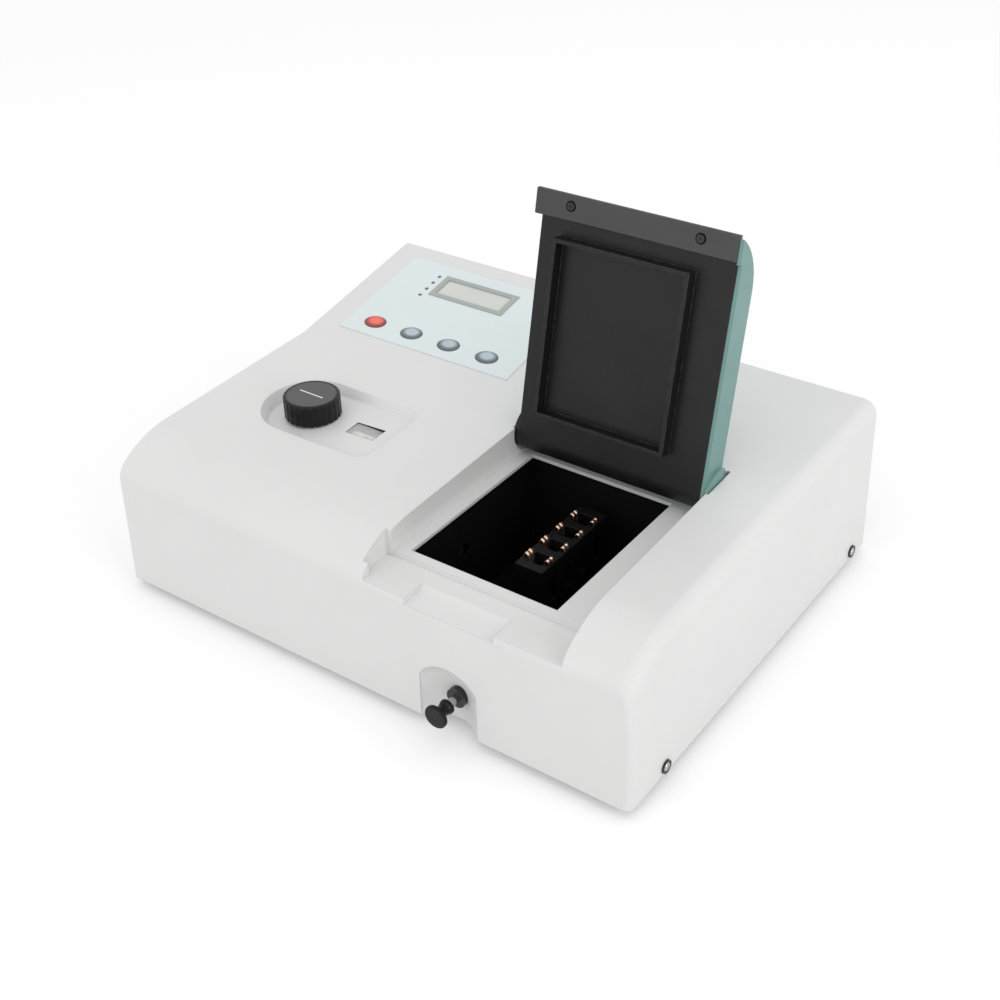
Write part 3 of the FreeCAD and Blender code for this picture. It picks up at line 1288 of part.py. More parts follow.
def wavelength_knob():
    """Knob with a bevelled rim, a recess for its disc and finger dimples round its side."""
    axis = V(KNOB_X, KNOB_Y, 0)
    low = KNOB_TOP - KNOB_HEIGHT
    wide = KNOB_RADIUS + 1
    rim = KNOB_RADIUS - 2.7
    form = turned_profile([(low - 1, 0), (low - 1, wide), (KNOB_TOP - 1.8, wide), (KNOB_TOP, rim + 1.0),
                           (KNOB_TOP, rim), (KNOB_TOP - 0.8, rim), (KNOB_TOP - 0.8, 0)], axis, Z, X)
    knob = dimpled_outline(low).extrude(Z * (KNOB_HEIGHT + 2)).common(form)
    bottom = V(KNOB_X, KNOB_Y, low)
    return knob.cut(bar(SHAFT_RADIUS, bottom - Z, bottom + Z * 12, 24))


def knob_cap():
    """Turned disc let into the top of the knob, with a shallow index groove."""
    low = V(KNOB_X, KNOB_Y, KNOB_TOP - 0.8)
    cap = rod(KNOB_RADIUS - 2.7, low, low + Z * 0.6)
    return cap.cut(box(KNOB_X - 12, KNOB_X + 12, KNOB_Y - 0.6, KNOB_Y + 0.6, KNOB_TOP - 0.45, KNOB_TOP + 1))


def bevel_gear(apex, along, across, offset):
    """Bevel gear with straight tapered teeth on a root cone, from its apex along its axis."""
    face_share = 0.65
    half = math.sqrt(0.5)
    addendum = 0.75 * half
    dedendum = 1.1 * half
    side = along.cross(across)
    root = [(GEAR_RADIUS - dedendum, GEAR_RADIUS + dedendum),
            ((GEAR_RADIUS - dedendum) * face_share, (GEAR_RADIUS + dedendum) * face_share)]
    body = tapered(root[1][0], root[0][0], apex + along * root[1][1], apex + along * root[0][1], GEAR_TEETH)
    deep = 0.35
    section = [(GEAR_RADIUS + addendum, GEAR_RADIUS - addendum, -0.3),
               (GEAR_RADIUS + addendum, GEAR_RADIUS - addendum, 0.3),
               (GEAR_RADIUS - dedendum - deep, GEAR_RADIUS + dedendum + deep, 0.75),
               (GEAR_RADIUS - dedendum - deep, GEAR_RADIUS + dedendum + deep, -0.75)]
    for index in range(GEAR_TEETH):
        degrees = offset + 360.0 * index / GEAR_TEETH
        rings = []
        for share in (1.0, face_share):
            ring = []
            for radius, run, shift in section:
                point = apex + along * (run * share) + across * (radius * share) + side * (shift * share)
                ring.append((point.x, point.y, point.z))
            rings.append(ring)
        body = body.fuse(turned(frustum(rings[0], rings[1]), apex, along, degrees))
    return body


def drive_apex():
    """Point where the axes of the bevel gears meet."""
    return V(KNOB_X, KNOB_Y, DRIVE_Z)


def knob_shaft():
    """Upright shaft of the knob with its bevel gear below the cover."""
    apex = drive_apex()
    gear = bevel_gear(apex, Z, X, 0.0)
    top = V(KNOB_X, KNOB_Y, KNOB_TOP - KNOB_HEIGHT + 12)
    shaft = bar(SHAFT_RADIUS, apex + Z * (GEAR_RADIUS + 0.5), top, 24)
    return gear.fuse(shaft)


def cross_shaft():
    """Level shaft with the second bevel gear and the lead screw that moves the nut."""
    apex = drive_apex()
    gear = bevel_gear(apex, X, Z, 180.0 / GEAR_TEETH)
    shaft = bar(CROSS_RADIUS, apex + X * (GEAR_RADIUS + 0.5), V(CROSS_END, KNOB_Y, DRIVE_Z), SHAFT_SIDES)
    return gear.fuse(shaft)


def drum(left, right, bore):
    """Counter drum round the cross shaft."""
    start = V(left, KNOB_Y, DRIVE_Z)
    end = V(right, KNOB_Y, DRIVE_Z)
    return bar(DRUM_RADIUS, start, end, 40).cut(bar(bore, start - X, end + X, SHAFT_SIDES))


def fine_drum():
    """Drum that counts single units, on the cross shaft."""
    return drum(WINDOW_X - 6.0, WINDOW_X + 13.0, CROSS_RADIUS)


def hundreds_drum():
    """Drum that counts hundreds, running loose on the cross shaft."""
    return drum(WINDOW_X - 13.5, WINDOW_X - 6.5, CROSS_RADIUS + BEARING_ROOM)


def counter_frame():
    """Bracket over the bench with three bearing lugs and the nut's guide rod."""
    plate = box(COUNTER_LEFT, COUNTER_RIGHT, KNOB_Y + 6, KNOB_Y + 22, BENCH_TOP, BENCH_TOP + 3)
    parts = [plate]
    for x in LUG_PLACES:
        parts.append(box(x - 2, x + 2, KNOB_Y - 4, KNOB_Y + 20, BENCH_TOP, DRIVE_Z + 4.5))
    for x in (COUNTER_LEFT + 5, POST_X):
        low = V(x, KNOB_Y + 16, BENCH_FLOOR)
        parts.append(bar(4, low, low + Z * (BENCH_TOP - BENCH_FLOOR + 1)))
    frame = joined(parts)
    for x in LUG_PLACES:
        start = V(x - 3, KNOB_Y, DRIVE_Z)
        frame = frame.cut(bar(CROSS_RADIUS + BEARING_ROOM, start, start + X * 6, SHAFT_SIDES))
    guide = bar(2.0, V(LUG_PLACES[1] - 2, NUT_GUIDE_Y, DRIVE_Z),
                V(LUG_PLACES[2] + 2, NUT_GUIDE_Y, DRIVE_Z), 12)
    return frame.fuse(guide)


def counter_window():
    """Clear pane in the cover's window above the drums."""
    half = WINDOW_LENGTH / 2
    return box(WINDOW_X - WINDOW_WIDTH / 2, WINDOW_X + WINDOW_WIDTH / 2, KNOB_Y - half, KNOB_Y + half,
               PANE_Z, PANE_Z + 1)


def screw_nut():
    """Nut on the lead screw, kept upright by the guide rod, with a fork for the grating's arm."""
    middle = GRATING_X
    block = box(middle - 6, middle + 6, KNOB_Y - 8, NUT_GUIDE_Y + 5, DRIVE_Z - 6.5, DRIVE_Z + 6.5)
    fork = box(middle - 6, middle + 6, GRATING_Y + ARM_LENGTH - 6, KNOB_Y, FORK_LOW, DRIVE_Z - 6)
    nut = joined([block, fork])
    half = PIN_ARM_RADIUS + 0.15
    screw = V(middle - 8, KNOB_Y, DRIVE_Z)
    guide = V(middle - 8, NUT_GUIDE_Y, DRIVE_Z)
    cuts = [bar(CROSS_RADIUS + BEARING_ROOM, screw, screw + X * 16, SHAFT_SIDES),
            bar(2.0 + RUNNING, guide, guide + X * 16, 12),
            box(middle - half, middle + half, GRATING_Y + ARM_LENGTH - 8, GRATING_Y + ARM_LENGTH + 4,
                FORK_LOW - 1, DRIVE_Z - 6.5)]
    return cut_all(nut, cuts)


def grating_table():
    """Turntable on a spigot with the grating's back plate, and the sine arm with its pin on top."""
    place = V(GRATING_X, GRATING_Y, 0)
    spigot = bar(4.0, place + Z * (BENCH_FLOOR - 6), place + Z * (BENCH_FLOOR + 1), SHAFT_SIDES)
    low = bar(16, place + Z * (BENCH_FLOOR + RUNNING), place + Z * (BENCH_FLOOR + 4), 24)
    back = box(GRATING_X + 8, GRATING_X + 12, GRATING_Y - 11, GRATING_Y + 11, BENCH_FLOOR + 3, BEAM_Z + 20)
    top = bar(16, place + Z * (BEAM_Z + 19), place + Z * (BEAM_Z + 23), 24)
    hub = bar(5, place + Z * (BEAM_Z + 22), place + Z * (BENCH_TOP + 1), 12)
    arm = box(GRATING_X - 4, GRATING_X + 4, GRATING_Y - 6, GRATING_Y + ARM_LENGTH, BENCH_TOP, BENCH_TOP + 3)
    end = V(GRATING_X, GRATING_Y + ARM_LENGTH, BENCH_TOP)
    tip = bar(4, end, end + Z * 3, 12)
    pin = bar(PIN_ARM_RADIUS, end + Z * 2, V(end.x, end.y, DRIVE_Z - 7), 12)
    return joined([spigot, low, back, top, hub, arm, tip, pin])


def grating():
    """Ruled grating whose face lies on the turntable's axis."""
    return box(GRATING_X, GRATING_X + 8, GRATING_Y - 12.5, GRATING_Y + 12.5, BEAM_Z - 15, BEAM_Z + 15)


def optical_bench():
    """Cast tray of the monochromator with its walls, pads and light openings."""
    low = BENCH_FLOOR - 8
    outer = box(BENCH_LEFT, BENCH_RIGHT, BENCH_FRONT, BENCH_REAR, low, BENCH_TOP - 4)
    wall = BENCH_WALL
    inner = box(BENCH_LEFT + wall, BENCH_RIGHT - wall, BENCH_FRONT + wall, BENCH_REAR - wall,
                BENCH_FLOOR, 120)
    bench = outer.cut(inner)
    for x in (BENCH_LEFT + 20, BENCH_RIGHT - 20):
        for y in (BENCH_FRONT + 20, BENCH_REAR - 20):
            bench = bench.fuse(bar(8, V(x, y, BASE_LIFT + BASE_THICKNESS), V(x, y, low)))
    exit_place = V(BENCH_RIGHT - wall - 1, BEAM_Y, BEAM_Z)
    entrance = V(ENTRANCE_X, BENCH_REAR - wall - 1, BEAM_Z)
    pivot = V(GRATING_X, GRATING_Y, 0)
    cuts = [bar(7, exit_place, exit_place + X * (wall + 2), 12),
            bar(7, entrance, entrance + Y * (wall + 2), 12),
            bar(4 + BEARING_ROOM, pivot, pivot + Z * (BENCH_FLOOR + 1), SHAFT_SIDES)]
    return cut_all(bench, cuts)


def slit_plates():
    """Thin blackened plates with the entrance and exit slits."""
    wall_x = BENCH_RIGHT - BENCH_WALL
    exit_plate = box(wall_x - 1, wall_x, BEAM_Y - 11, BEAM_Y + 11, BEAM_Z - 14, BEAM_Z + 14)
    exit_plate = exit_plate.cut(box(wall_x - 2, wall_x + 1, BEAM_Y - 0.6, BEAM_Y + 0.6,
                                    BEAM_Z - 6, BEAM_Z + 6))
    wall_y = BENCH_REAR - BENCH_WALL
    entrance = box(ENTRANCE_X - 11, ENTRANCE_X + 11, wall_y - 1, wall_y, BEAM_Z - 14, BEAM_Z + 14)
    entrance = entrance.cut(box(ENTRANCE_X - 0.6, ENTRANCE_X + 0.6, wall_y - 2, wall_y + 1,
                                BEAM_Z - 6, BEAM_Z + 6))
    return group([exit_plate, entrance])


def mirror_places():
    """Middle of each mirror's face, the way it looks, its radius and its curve (0 for flat)."""
    return [(V(ENTRANCE_X, COLLIMATOR_Y, BEAM_Z), V(-1, 1, 0).normalize(), 12, 0),
            (V(MIRROR_X, COLLIMATOR_Y, BEAM_Z), V(1, 0.08, 0).normalize(), 15, 200),
            (V(MIRROR_X, BEAM_Y, BEAM_Z), V(1, -0.08, 0).normalize(), 15, 200)]


def bench_mirrors():
    """Flat fold mirror and two concave mirrors."""
    mirrors = []
    for face, look, radius, curve in mirror_places():
        disc = bar(radius, face - look * 6, face, 24)
        if curve:
            disc = disc.cut(Part.makeSphere(curve, face + look * (curve - 0.7)))
        mirrors.append(disc)
    return group(mirrors)


def mirror_mounts():
    """Brackets that hold the mirrors at beam height."""
    mounts = []
    for face, look, radius, _ in mirror_places():
        back = face - look * 6
        plate = bar(radius, back - look * 4, back, 24)
        behind = back - look * 2
        standing = V(behind.x, behind.y, BENCH_FLOOR)
        stem = bar(4, standing, V(behind.x, behind.y, BEAM_Z - 10))
        foot = bar(8, standing, standing + Z * 4)
        clear = bar(radius, back, face + look * 20, 24)
        mounts.append(joined([plate, stem, foot]).cut(clear))
    return group(mounts)


def lamp_house():
    """Finned box round the lamp with the condenser's tube."""
    low = BASE_LIFT + BASE_THICKNESS
    left = ENTRANCE_X - 30
    right = ENTRANCE_X + 30
    house = box(left, right, LAMP_Y - 26, LAMP_Y + 26, low, 98)
    house = house.cut(box(left + 4, right - 4, LAMP_Y - 22, LAMP_Y + 22, low + 3, 120))
    parts = [house]
    for index in range(6):
        y = LAMP_Y - 22 + index * 8.4
        parts.append(box(left - 8, left + 0.5, y, y + 2, low + 5, 94))
    house = joined(parts)
    place = V(ENTRANCE_X, LAMP_Y - 26, BEAM_Z)
    house = house.fuse(bar(LENS_RADIUS + 3, place - Y * 12, place + Y * 2, 24))
    return house.cut(bar(LENS_RADIUS, place - Y * 13, place + Y * 5, 24))


def condenser_lens():
    """Plano-convex lens in the lamp house's tube."""
    place = V(ENTRANCE_X, LAMP_Y - 35, BEAM_Z)
    dome = tapered(LENS_RADIUS - 4, LENS_RADIUS, place, place + Y * 1.6, 24)
    return dome.fuse(bar(LENS_RADIUS, place + Y * 1.6, place + Y * 4, 24))


def lamp_socket():
    """Ceramic socket on a bracket in the lamp house."""
    low = BASE_LIFT + BASE_THICKNESS + 3
    socket = box(ENTRANCE_X - 8, ENTRANCE_X + 8, LAMP_Y - 6, LAMP_Y + 6, BEAM_Z - 30, BEAM_Z - 14)
    bracket = box(ENTRANCE_X - 12, ENTRANCE_X + 12, LAMP_Y - 10, LAMP_Y + 10, low, low + 2)
    stem = box(ENTRANCE_X - 4, ENTRANCE_X + 4, LAMP_Y - 4, LAMP_Y + 4, low + 1, BEAM_Z - 29)
    return joined([socket, bracket, stem])


def halogen_lamp():
    """Capsule lamp standing in the socket."""
    base = V(ENTRANCE_X, LAMP_Y, BEAM_Z - 14)
    pinch = box(ENTRANCE_X - 4, ENTRANCE_X + 4, LAMP_Y - 2, LAMP_Y + 2, BEAM_Z - 14, BEAM_Z - 6)
    bulb = bar(5.5, base + Z * 7, base + Z * 23, 16)
    tip = tapered(5.5, 2.0, base + Z * 23, base + Z * 27, 16)
    return pinch.fuse(bulb).fuse(tip)


def main_board():
    """Mains and amplifier board on stand-offs behind the chamber."""
    x0 = BOARD_LEFT
    x1 = WIDTH / 2 - 23
    y0 = CHAMBER_REAR + BOARD_GAP
    y1 = DEPTH - BOARD_INSET
    low = BASE_LIFT + BASE_THICKNESS + BOARD_LIFT
    parts = [box(x0, x1, y0, y1, low, low + BOARD_THICKNESS)]
    for x in (x0 + 6, x1 - 6):
        for y in (y0 + 6, y1 - 6):
            parts.append(bar(3, V(x, y, BASE_LIFT + BASE_THICKNESS), V(x, y, low + 0.5)))
    for index in range(3):
        place = V(x0 + 24 + index * 26, y0 + 24, low + 1)
        parts.append(bar(8, place, place + Z * 28, 16))
    parts.append(box(x0 + 20, x0 + 60, y1 - 50, y1 - 40, low + 1, low + 26))
    parts.append(box(x0 + 80, x0 + 100, y1 - 50, y1 - 24, low + 1, low + 5))
    parts.append(box(x0 + 112, x0 + 128, y1 - 54, y1 - 30, low + 1, low + 5))
    return joined(parts)


def transformer():
    """Laminated mains transformer with its winding and foot plate."""
    x0 = TRANSFORMER_INSET - WIDTH / 2
    x1 = x0 + TRANSFORMER_WIDTH
    y0 = BENCH_REAR + TRANSFORMER_GAP
    y1 = y0 + TRANSFORMER_LENGTH
    low = BASE_LIFT + BASE_THICKNESS
    foot = box(x0 - 4, x1 + 4, y0 + 12, y1 - 12, low, low + 2)
    core = box(x0, x1, y0 + 14, y1 - 14, low + 1, low + TRANSFORMER_HEIGHT)
    coil = box(x0 + 14, x1 - 14, y0, y1, low + 12, low + TRANSFORMER_HEIGHT - 12)
    return joined([foot, core, coil])


PIECES = {
    "top_cover": top_cover, "base_plate": base_plate, "rubber_feet": rubber_feet,
    "cover_washers": cover_washers, "cover_screws": cover_screws, "rear_panel": rear_panel,
    "power_inlet": power_inlet, "fuse_drawer": fuse_drawer, "switch_housing": switch_housing,
    "power_rocker": power_rocker, "data_port": data_port, "fan_frame": fan_frame, "fan_rotor": fan_rotor,
    "keypad_overlay": keypad_overlay, "lcd_bezel": lcd_bezel, "lcd_glass": lcd_glass,
    "status_lamps": status_lamps, "key_board": key_board, "lid_shell": lid_shell, "lid_liner": lid_liner,
    "lid_lip": lid_lip, "lid_screws": lid_screws, "hinge_pins": hinge_pins, "rod_bush": rod_bush,
    "pull_rod": pull_rod, "rod_knob": rod_knob, "chamber_liner": chamber_liner, "guide_rods": guide_rods,
    "cell_carriage": cell_carriage, "cell_rack": cell_rack, "cell_springs": cell_springs,
    "detent_spring": detent_spring, "detector_housing": detector_housing, "photodiode": photodiode,
    "wavelength_knob": wavelength_knob, "knob_cap": knob_cap, "knob_shaft": knob_shaft,
    "cross_shaft": cross_shaft, "fine_drum": fine_drum, "hundreds_drum": hundreds_drum,
    "counter_frame": counter_frame, "counter_window": counter_window, "screw_nut": screw_nut,
    "grating_table": grating_table, "grating": grating, "optical_bench": optical_bench,
    "slit_plates": slit_plates, "bench_mirrors": bench_mirrors, "mirror_mounts": mirror_mounts,
    "lamp_house": lamp_house, "lamp_socket": lamp_socket, "halogen_lamp": halogen_lamp,
    "condenser_lens": condenser_lens, "main_board": main_board, "transformer": transformer,
}


def main():
    """Make and store every piece."""
    os.makedirs("parts", exist_ok=True)
    for name, make in PIECES.items():
        write(name, make())
    for index, name in enumerate(KEY_NAMES):
        write(name, key(index))


main()
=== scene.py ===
"""Looks of a single-beam bench spectrophotometer: finishes, smooth skins, counter figures, studio.

Metres, +Z up, +X to the right and +Y to the rear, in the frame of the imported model.
"""
import json
import math

import bmesh
import bpy
from bpy.props import FloatProperty, FloatVectorProperty, PointerProperty
from bpy.types import Operator, Panel, PropertyGroup
from mathutils import Matrix, Vector

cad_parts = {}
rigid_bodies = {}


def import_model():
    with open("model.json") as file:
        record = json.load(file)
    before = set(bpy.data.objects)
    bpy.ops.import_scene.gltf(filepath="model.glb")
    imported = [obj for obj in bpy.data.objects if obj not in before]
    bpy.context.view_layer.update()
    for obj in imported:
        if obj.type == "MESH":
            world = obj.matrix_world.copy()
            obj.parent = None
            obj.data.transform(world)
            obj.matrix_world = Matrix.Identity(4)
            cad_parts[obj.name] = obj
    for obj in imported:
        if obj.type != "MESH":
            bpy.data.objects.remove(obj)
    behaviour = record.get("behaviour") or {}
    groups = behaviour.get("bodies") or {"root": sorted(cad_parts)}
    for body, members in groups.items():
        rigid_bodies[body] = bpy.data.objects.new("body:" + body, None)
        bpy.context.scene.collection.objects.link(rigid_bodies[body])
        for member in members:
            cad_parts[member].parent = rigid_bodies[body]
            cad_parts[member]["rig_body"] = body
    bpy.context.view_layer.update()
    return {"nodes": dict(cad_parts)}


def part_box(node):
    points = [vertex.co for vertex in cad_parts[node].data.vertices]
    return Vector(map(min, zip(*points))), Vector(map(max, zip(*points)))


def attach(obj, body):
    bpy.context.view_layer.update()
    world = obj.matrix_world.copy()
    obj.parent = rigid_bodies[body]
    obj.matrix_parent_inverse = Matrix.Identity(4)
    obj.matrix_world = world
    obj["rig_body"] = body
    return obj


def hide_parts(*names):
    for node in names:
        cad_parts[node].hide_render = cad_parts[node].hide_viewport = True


bl_info = {
    "name": "Bench spectrophotometer",
    "version": (1, 0, 0),
    "blender": (4, 5, 0),
    "location": "View3D > Sidebar > Spectrophotometer",
    "description": "Finishes, skins, counter figures and studio for a bench spectrophotometer",
    "category": "Object",
}

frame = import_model()

# Keys
KEY_HALF_LONG = 0.01025
KEY_HALF_SHORT = 0.0075

# Knob, its index line, and the counter's drums
KNOB_AXIS = Vector((-0.141, -0.0465, 0.0))
INDEX_LENGTH = 0.0236
INDEX_WIDTH = 0.0011
DRUM_AXIS = Vector((0.0, -0.0465, 0.1125))
DRUM_FACE = 0.0106
INK_LIFT = 0.00003
UNIT_FIGURES_X = -0.0868
HUNDRED_FIGURES_X = -0.0970
TICKS_FROM_X = -0.0785
TICKS = 50
TICK_HALF = 0.12
UNIT_LABELS = 10
UNIT_AT_REST = 5
HUNDRED_AT_REST = 6

# Counter window: the cut below the pane, and the slanted dish floor above it; a black sleeve and lining on
# the cut's walls are painted shade
WINDOW_LOW = Vector((-0.101, -0.0545, 0.1245))
WINDOW_HIGH = Vector((-0.073, -0.0385, 0.1264))
SHADE_SLEEVE_WALL = 0.0004
SHADE_LINING_INSETS = (0.00002, 0.00027)
PANE_TOP = 0.12752
DISH_AT_WINDOW = 0.12854
DISH_RISE = Vector((0.0514, 0.0345))

# Cell rack and the line of a leaf spring, as distance from the rack's middle and height
RACK_X = 0.088
FIRST_CELL_Y = -0.0645
CELL_PITCH = 0.02
CELLS = 4
LEAF_LINE = ((0.0075, 0.070), (0.0068, 0.078), (0.0072, 0.088), (0.0082, 0.0906), (0.0096, 0.0911),
             (0.0109, 0.0884))
TONGUE_SHIFT = 0.0021
TONGUE_WIDTH = 0.0036
TONGUE_RISE = 0.0006
LEAF_THICKNESS = 0.0003

# Marks on the rocker: distance from its middle, height from its middle, and lean of the face
ROCKER_MIDDLE = Vector((0.118, 0.191, 0.054))
OFF_MARK = (-0.00088, -0.0065, -2.1)
ON_MARK = (0.00089, 0.0065, -12.8)


def colour(name, default, description):
    return FloatVectorProperty(name=name, description=description, default=default, subtype="COLOR",
                               size=3, min=0.0, max=1.0)


class HousingLook(PropertyGroup):
    cover: colour("Cover", (0.755, 0.755, 0.752), "Moulded off-white of the cover")
    pan: colour("Floor pan", (0.5, 0.51, 0.52), "Zinc-plated steel of the floor pan")
    rubber: colour("Feet", (0.028, 0.028, 0.03), "Rubber of the feet")
    fixings: colour("Screws", (0.55, 0.55, 0.56), "Plated steel of the screws")
    grain: FloatProperty(name="Grain", description="Size of one grain of the moulded texture",
                         default=0.0009, min=0.0001, max=0.01, unit="LENGTH")
    softness: FloatProperty(name="Edge softness", description="Radius that light sees along moulded edges",
                            default=0.0011, min=0.0, max=0.005, unit="LENGTH")


class LidLook(PropertyGroup):
    shell: colour("Shell", (0.155, 0.305, 0.28), "Teal of the lid's outer shell")
    liner: colour("Liner", (0.0095, 0.0095, 0.01), "Black satin of the lid's inner plate")
    lip: colour("Lip", (0.04, 0.04, 0.041), "Dark grey of the strip along the free edge")


class KeypadLook(PropertyGroup):
    film: colour("Film", (0.74, 0.815, 0.825), "Pale cyan film of the keypad")
    bezel: colour("Display frame", (0.4, 0.44, 0.425), "Grey frame round the display")
    glass: colour("Display", (0.66, 0.68, 0.635), "Unlit grey of the display")
    lamp: colour("Status lamps", (0.1, 0.13, 0.2), "Smoky lenses of the status lamps")
    mode_key: colour("Mode key", (0.72, 0.1, 0.075), "Red of the first key")
    key: colour("Keys", (0.3, 0.37, 0.4), "Blue-grey of the other keys")


class DriveLook(PropertyGroup):
    knob: colour("Knob", (0.005, 0.005, 0.0055), "Black of the wavelength knob")
    disc: colour("Knob disc", (0.085, 0.085, 0.088), "Finely lined disc on the knob")
    mark: colour("Index", (0.88, 0.88, 0.86), "White of the index line")
    drum: colour("Drums", (0.82, 0.81, 0.78), "White of the counter drums")
    figure: colour("Figures", (0.02, 0.02, 0.022), "Black of the figures on the drums")
    # Painted glow of the drums: they give off light of their own colour, and no lamp in the scene lights them
    painted_drum_glow: FloatProperty(name="Counter light", description="Glow of the drums, which a small lamp lights",
                       default=0.3, min=0.0, max=2.0)
    figure_height: FloatProperty(name="Figure height", description="Height of the figures on the drums",
                                 default=0.0042, min=0.001, max=0.006, unit="LENGTH")


class ChamberLook(PropertyGroup):
    walls: colour("Chamber", (0.0035, 0.0035, 0.0033), "Matt black of the chamber's walls")
    rack: colour("Rack", (0.0045, 0.0045, 0.0045), "Black anodised rack")
    spring: colour("Springs", (1.0, 0.72, 0.57), "Copper leaf springs")
    rod: colour("Guide rods", (0.3, 0.3, 0.3), "Oiled steel guide rods")


class StudioLook(PropertyGroup):
    place: FloatVectorProperty(name="Camera", description="Where the camera stands", subtype="XYZ",
                               default=(0.5747, -0.7705, 0.7136), unit="LENGTH")
    yaw: FloatProperty(name="Yaw", description="Turn of the camera from straight ahead to the left",
                       default=math.radians(36.4), subtype="ANGLE")
    pitch: FloatProperty(name="Pitch", description="How far the camera looks down",
                         default=math.radians(33.79), subtype="ANGLE")
    roll: FloatProperty(name="Roll", description="Roll of the camera", default=math.radians(-1.64),
                        subtype="ANGLE")
    lens: FloatProperty(name="Lens", description="Focal length in millimetres on a 36 mm sensor",
                        default=52.62, min=10.0, max=300.0)
    sky: FloatProperty(name="Sky light", description="Strength of the even light from all round",
                       default=0.86, min=0.0, max=5.0)
    key: FloatProperty(name="Key lamp", description="Power of the large lamp above", default=3.0,
                       min=0.0, subtype="POWER")
    fill: FloatProperty(name="Fill lamps", description="Power of the lamps before and beside the object",
                        default=12.0, min=0.0, subtype="POWER")
    front_share: FloatProperty(name="Front share", description="Front lamp as a share of the side lamp",
                               default=0.6, min=0.0, max=2.0)
    lift: FloatProperty(name="Floor white", description="Glow that carries the floor to white",
                        default=0.2, min=0.0, max=1.0)


def shader_node(tree, kind, sockets=None, **options):
    """Add a node, set its options, and give each named input a value or a link."""
    node = tree.nodes.new("ShaderNode" + kind)
    for option, value in options.items():
        setattr(node, option, value)
    for label, value in (sockets or {}).items():
        if isinstance(value, bpy.types.NodeSocket):
            tree.links.new(value, node.inputs[label])
        else:
            node.inputs[label].default_value = value
    return node


def effect(name, inputs, outputs):
    """New shader node group; returns its tree, the sockets that it is given and those that it fills."""
    tree = bpy.data.node_groups.new(name, "ShaderNodeTree")
    for label, kind, value in inputs:
        socket = tree.interface.new_socket(name=label, in_out="INPUT", socket_type="NodeSocket" + kind)
        if value is not None:
            socket.default_value = value
    for label in outputs:
        tree.interface.new_socket(name=label, in_out="OUTPUT", socket_type="NodeSocketFloat")
    given = tree.nodes.new("NodeGroupInput").outputs
    result = tree.nodes.new("NodeGroupOutput").inputs
    return tree, given, result


def moulded_grain():
    """Fine grain with small pits, and a slow change of tone, for plastics, paint and castings."""
    tree, given, result = effect("moulded_grain", [("Place", "Vector", None), ("Cell", "Float", 0.001)],
                                 ("Height", "Tone"))
    scale = shader_node(tree, "Math", {0: 1.0, 1: given["Cell"]}, operation="DIVIDE").outputs[0]
    fine = shader_node(tree, "TexNoise", {"Vector": given["Place"], "Scale": scale, "Detail": 3.0,
                                          "Roughness": 0.62})
    pits = shader_node(tree, "TexVoronoi", {"Vector": given["Place"], "Scale": scale}, feature="SMOOTH_F1")
    grain = shader_node(tree, "Math", {0: pits.outputs[0], 1: 0.45, 2: fine.outputs[0]},
                        operation="MULTIPLY_ADD")
    broad = shader_node(tree, "TexNoise", {"Vector": given["Place"], "Scale": 12.0, "Detail": 5.0,
                                           "Roughness": 0.55})
    tone = shader_node(tree, "MapRange", {"Value": broad.outputs[0], "From Min": 0.34, "From Max": 0.66})
    tree.links.new(grain.outputs[0], result["Height"])
    tree.links.new(tone.outputs[0], result["Tone"])
    return tree


def handling_marks():
    """Wiped streaks and finger smudges, as a mask that dulls or polishes the gloss."""
    tree, given, result = effect("handling_marks", [("Place", "Vector", None), ("Scale", "Float", 28.0)],
                                 ("Mask",))
    drawn = shader_node(tree, "Mapping", {"Vector": given["Place"], "Rotation": (0.3, 0.5, 0.7),
                                          "Scale": (1.0, 0.45, 1.0)})
    wiped = shader_node(tree, "TexNoise", {"Vector": drawn.outputs[0], "Scale": given["Scale"],
                                           "Detail": 6.0, "Roughness": 0.6, "Distortion": 0.8})
    specks = shader_node(tree, "TexNoise", {"Vector": given["Place"], "Scale": 520.0, "Detail": 1.0})
    streaks = shader_node(tree, "MapRange", {"Value": wiped.outputs[0], "From Min": 0.4, "From Max": 0.7})
    mask = shader_node(tree, "Math", {0: streaks.outputs[0], 1: specks.outputs[0]}, operation="MULTIPLY")
    tree.links.new(mask.outputs[0], result["Mask"])
    return tree


def edge_wear():
    """Mask of rubbed corners: where a rounded normal leaves the true one, broken up by noise."""
    tree, given, result = effect("edge_wear", [("Place", "Vector", None), ("Radius", "Float", 0.0006)],
                                 ("Mask",))
    soft = shader_node(tree, "Bevel", {"Radius": given["Radius"]}, samples=4)
    true = shader_node(tree, "NewGeometry")
    match = shader_node(tree, "VectorMath", {0: soft.outputs[0], 1: true.outputs["Normal"]},
                        operation="DOT_PRODUCT")
    edge = shader_node(tree, "MapRange", {"Value": match.outputs["Value"], "From Min": 0.99,
                                          "From Max": 0.78})
    patches = shader_node(tree, "TexNoise", {"Vector": given["Place"], "Scale": 160.0, "Detail": 4.0})
    broken = shader_node(tree, "MapRange", {"Value": patches.outputs[0], "From Min": 0.42,
                                            "From Max": 0.62})
    mask = shader_node(tree, "Math", {0: edge.outputs[0], 1: broken.outputs[0]}, operation="MULTIPLY")
    tree.links.new(mask.outputs[0], result["Mask"])
    return tree


def drawn_lines():
    """Fine parallel tool lines along X, for brushed and turned metal."""
    tree, given, result = effect("drawn_lines", [("Place", "Vector", None), ("Spacing", "Float", 0.0003)],
                                 ("Height",))
    scale = shader_node(tree, "Math", {0: 1.0, 1: given["Spacing"]}, operation="DIVIDE").outputs[0]
    long = shader_node(tree, "Mapping", {"Vector": given["Place"], "Scale": (0.03, 1.0, 1.0)})
    lines = shader_node(tree, "TexNoise", {"Vector": long.outputs[0], "Scale": scale, "Detail": 2.0})
    tree.links.new(lines.outputs[0], result["Height"])
    return tree


EFFECTS = {}


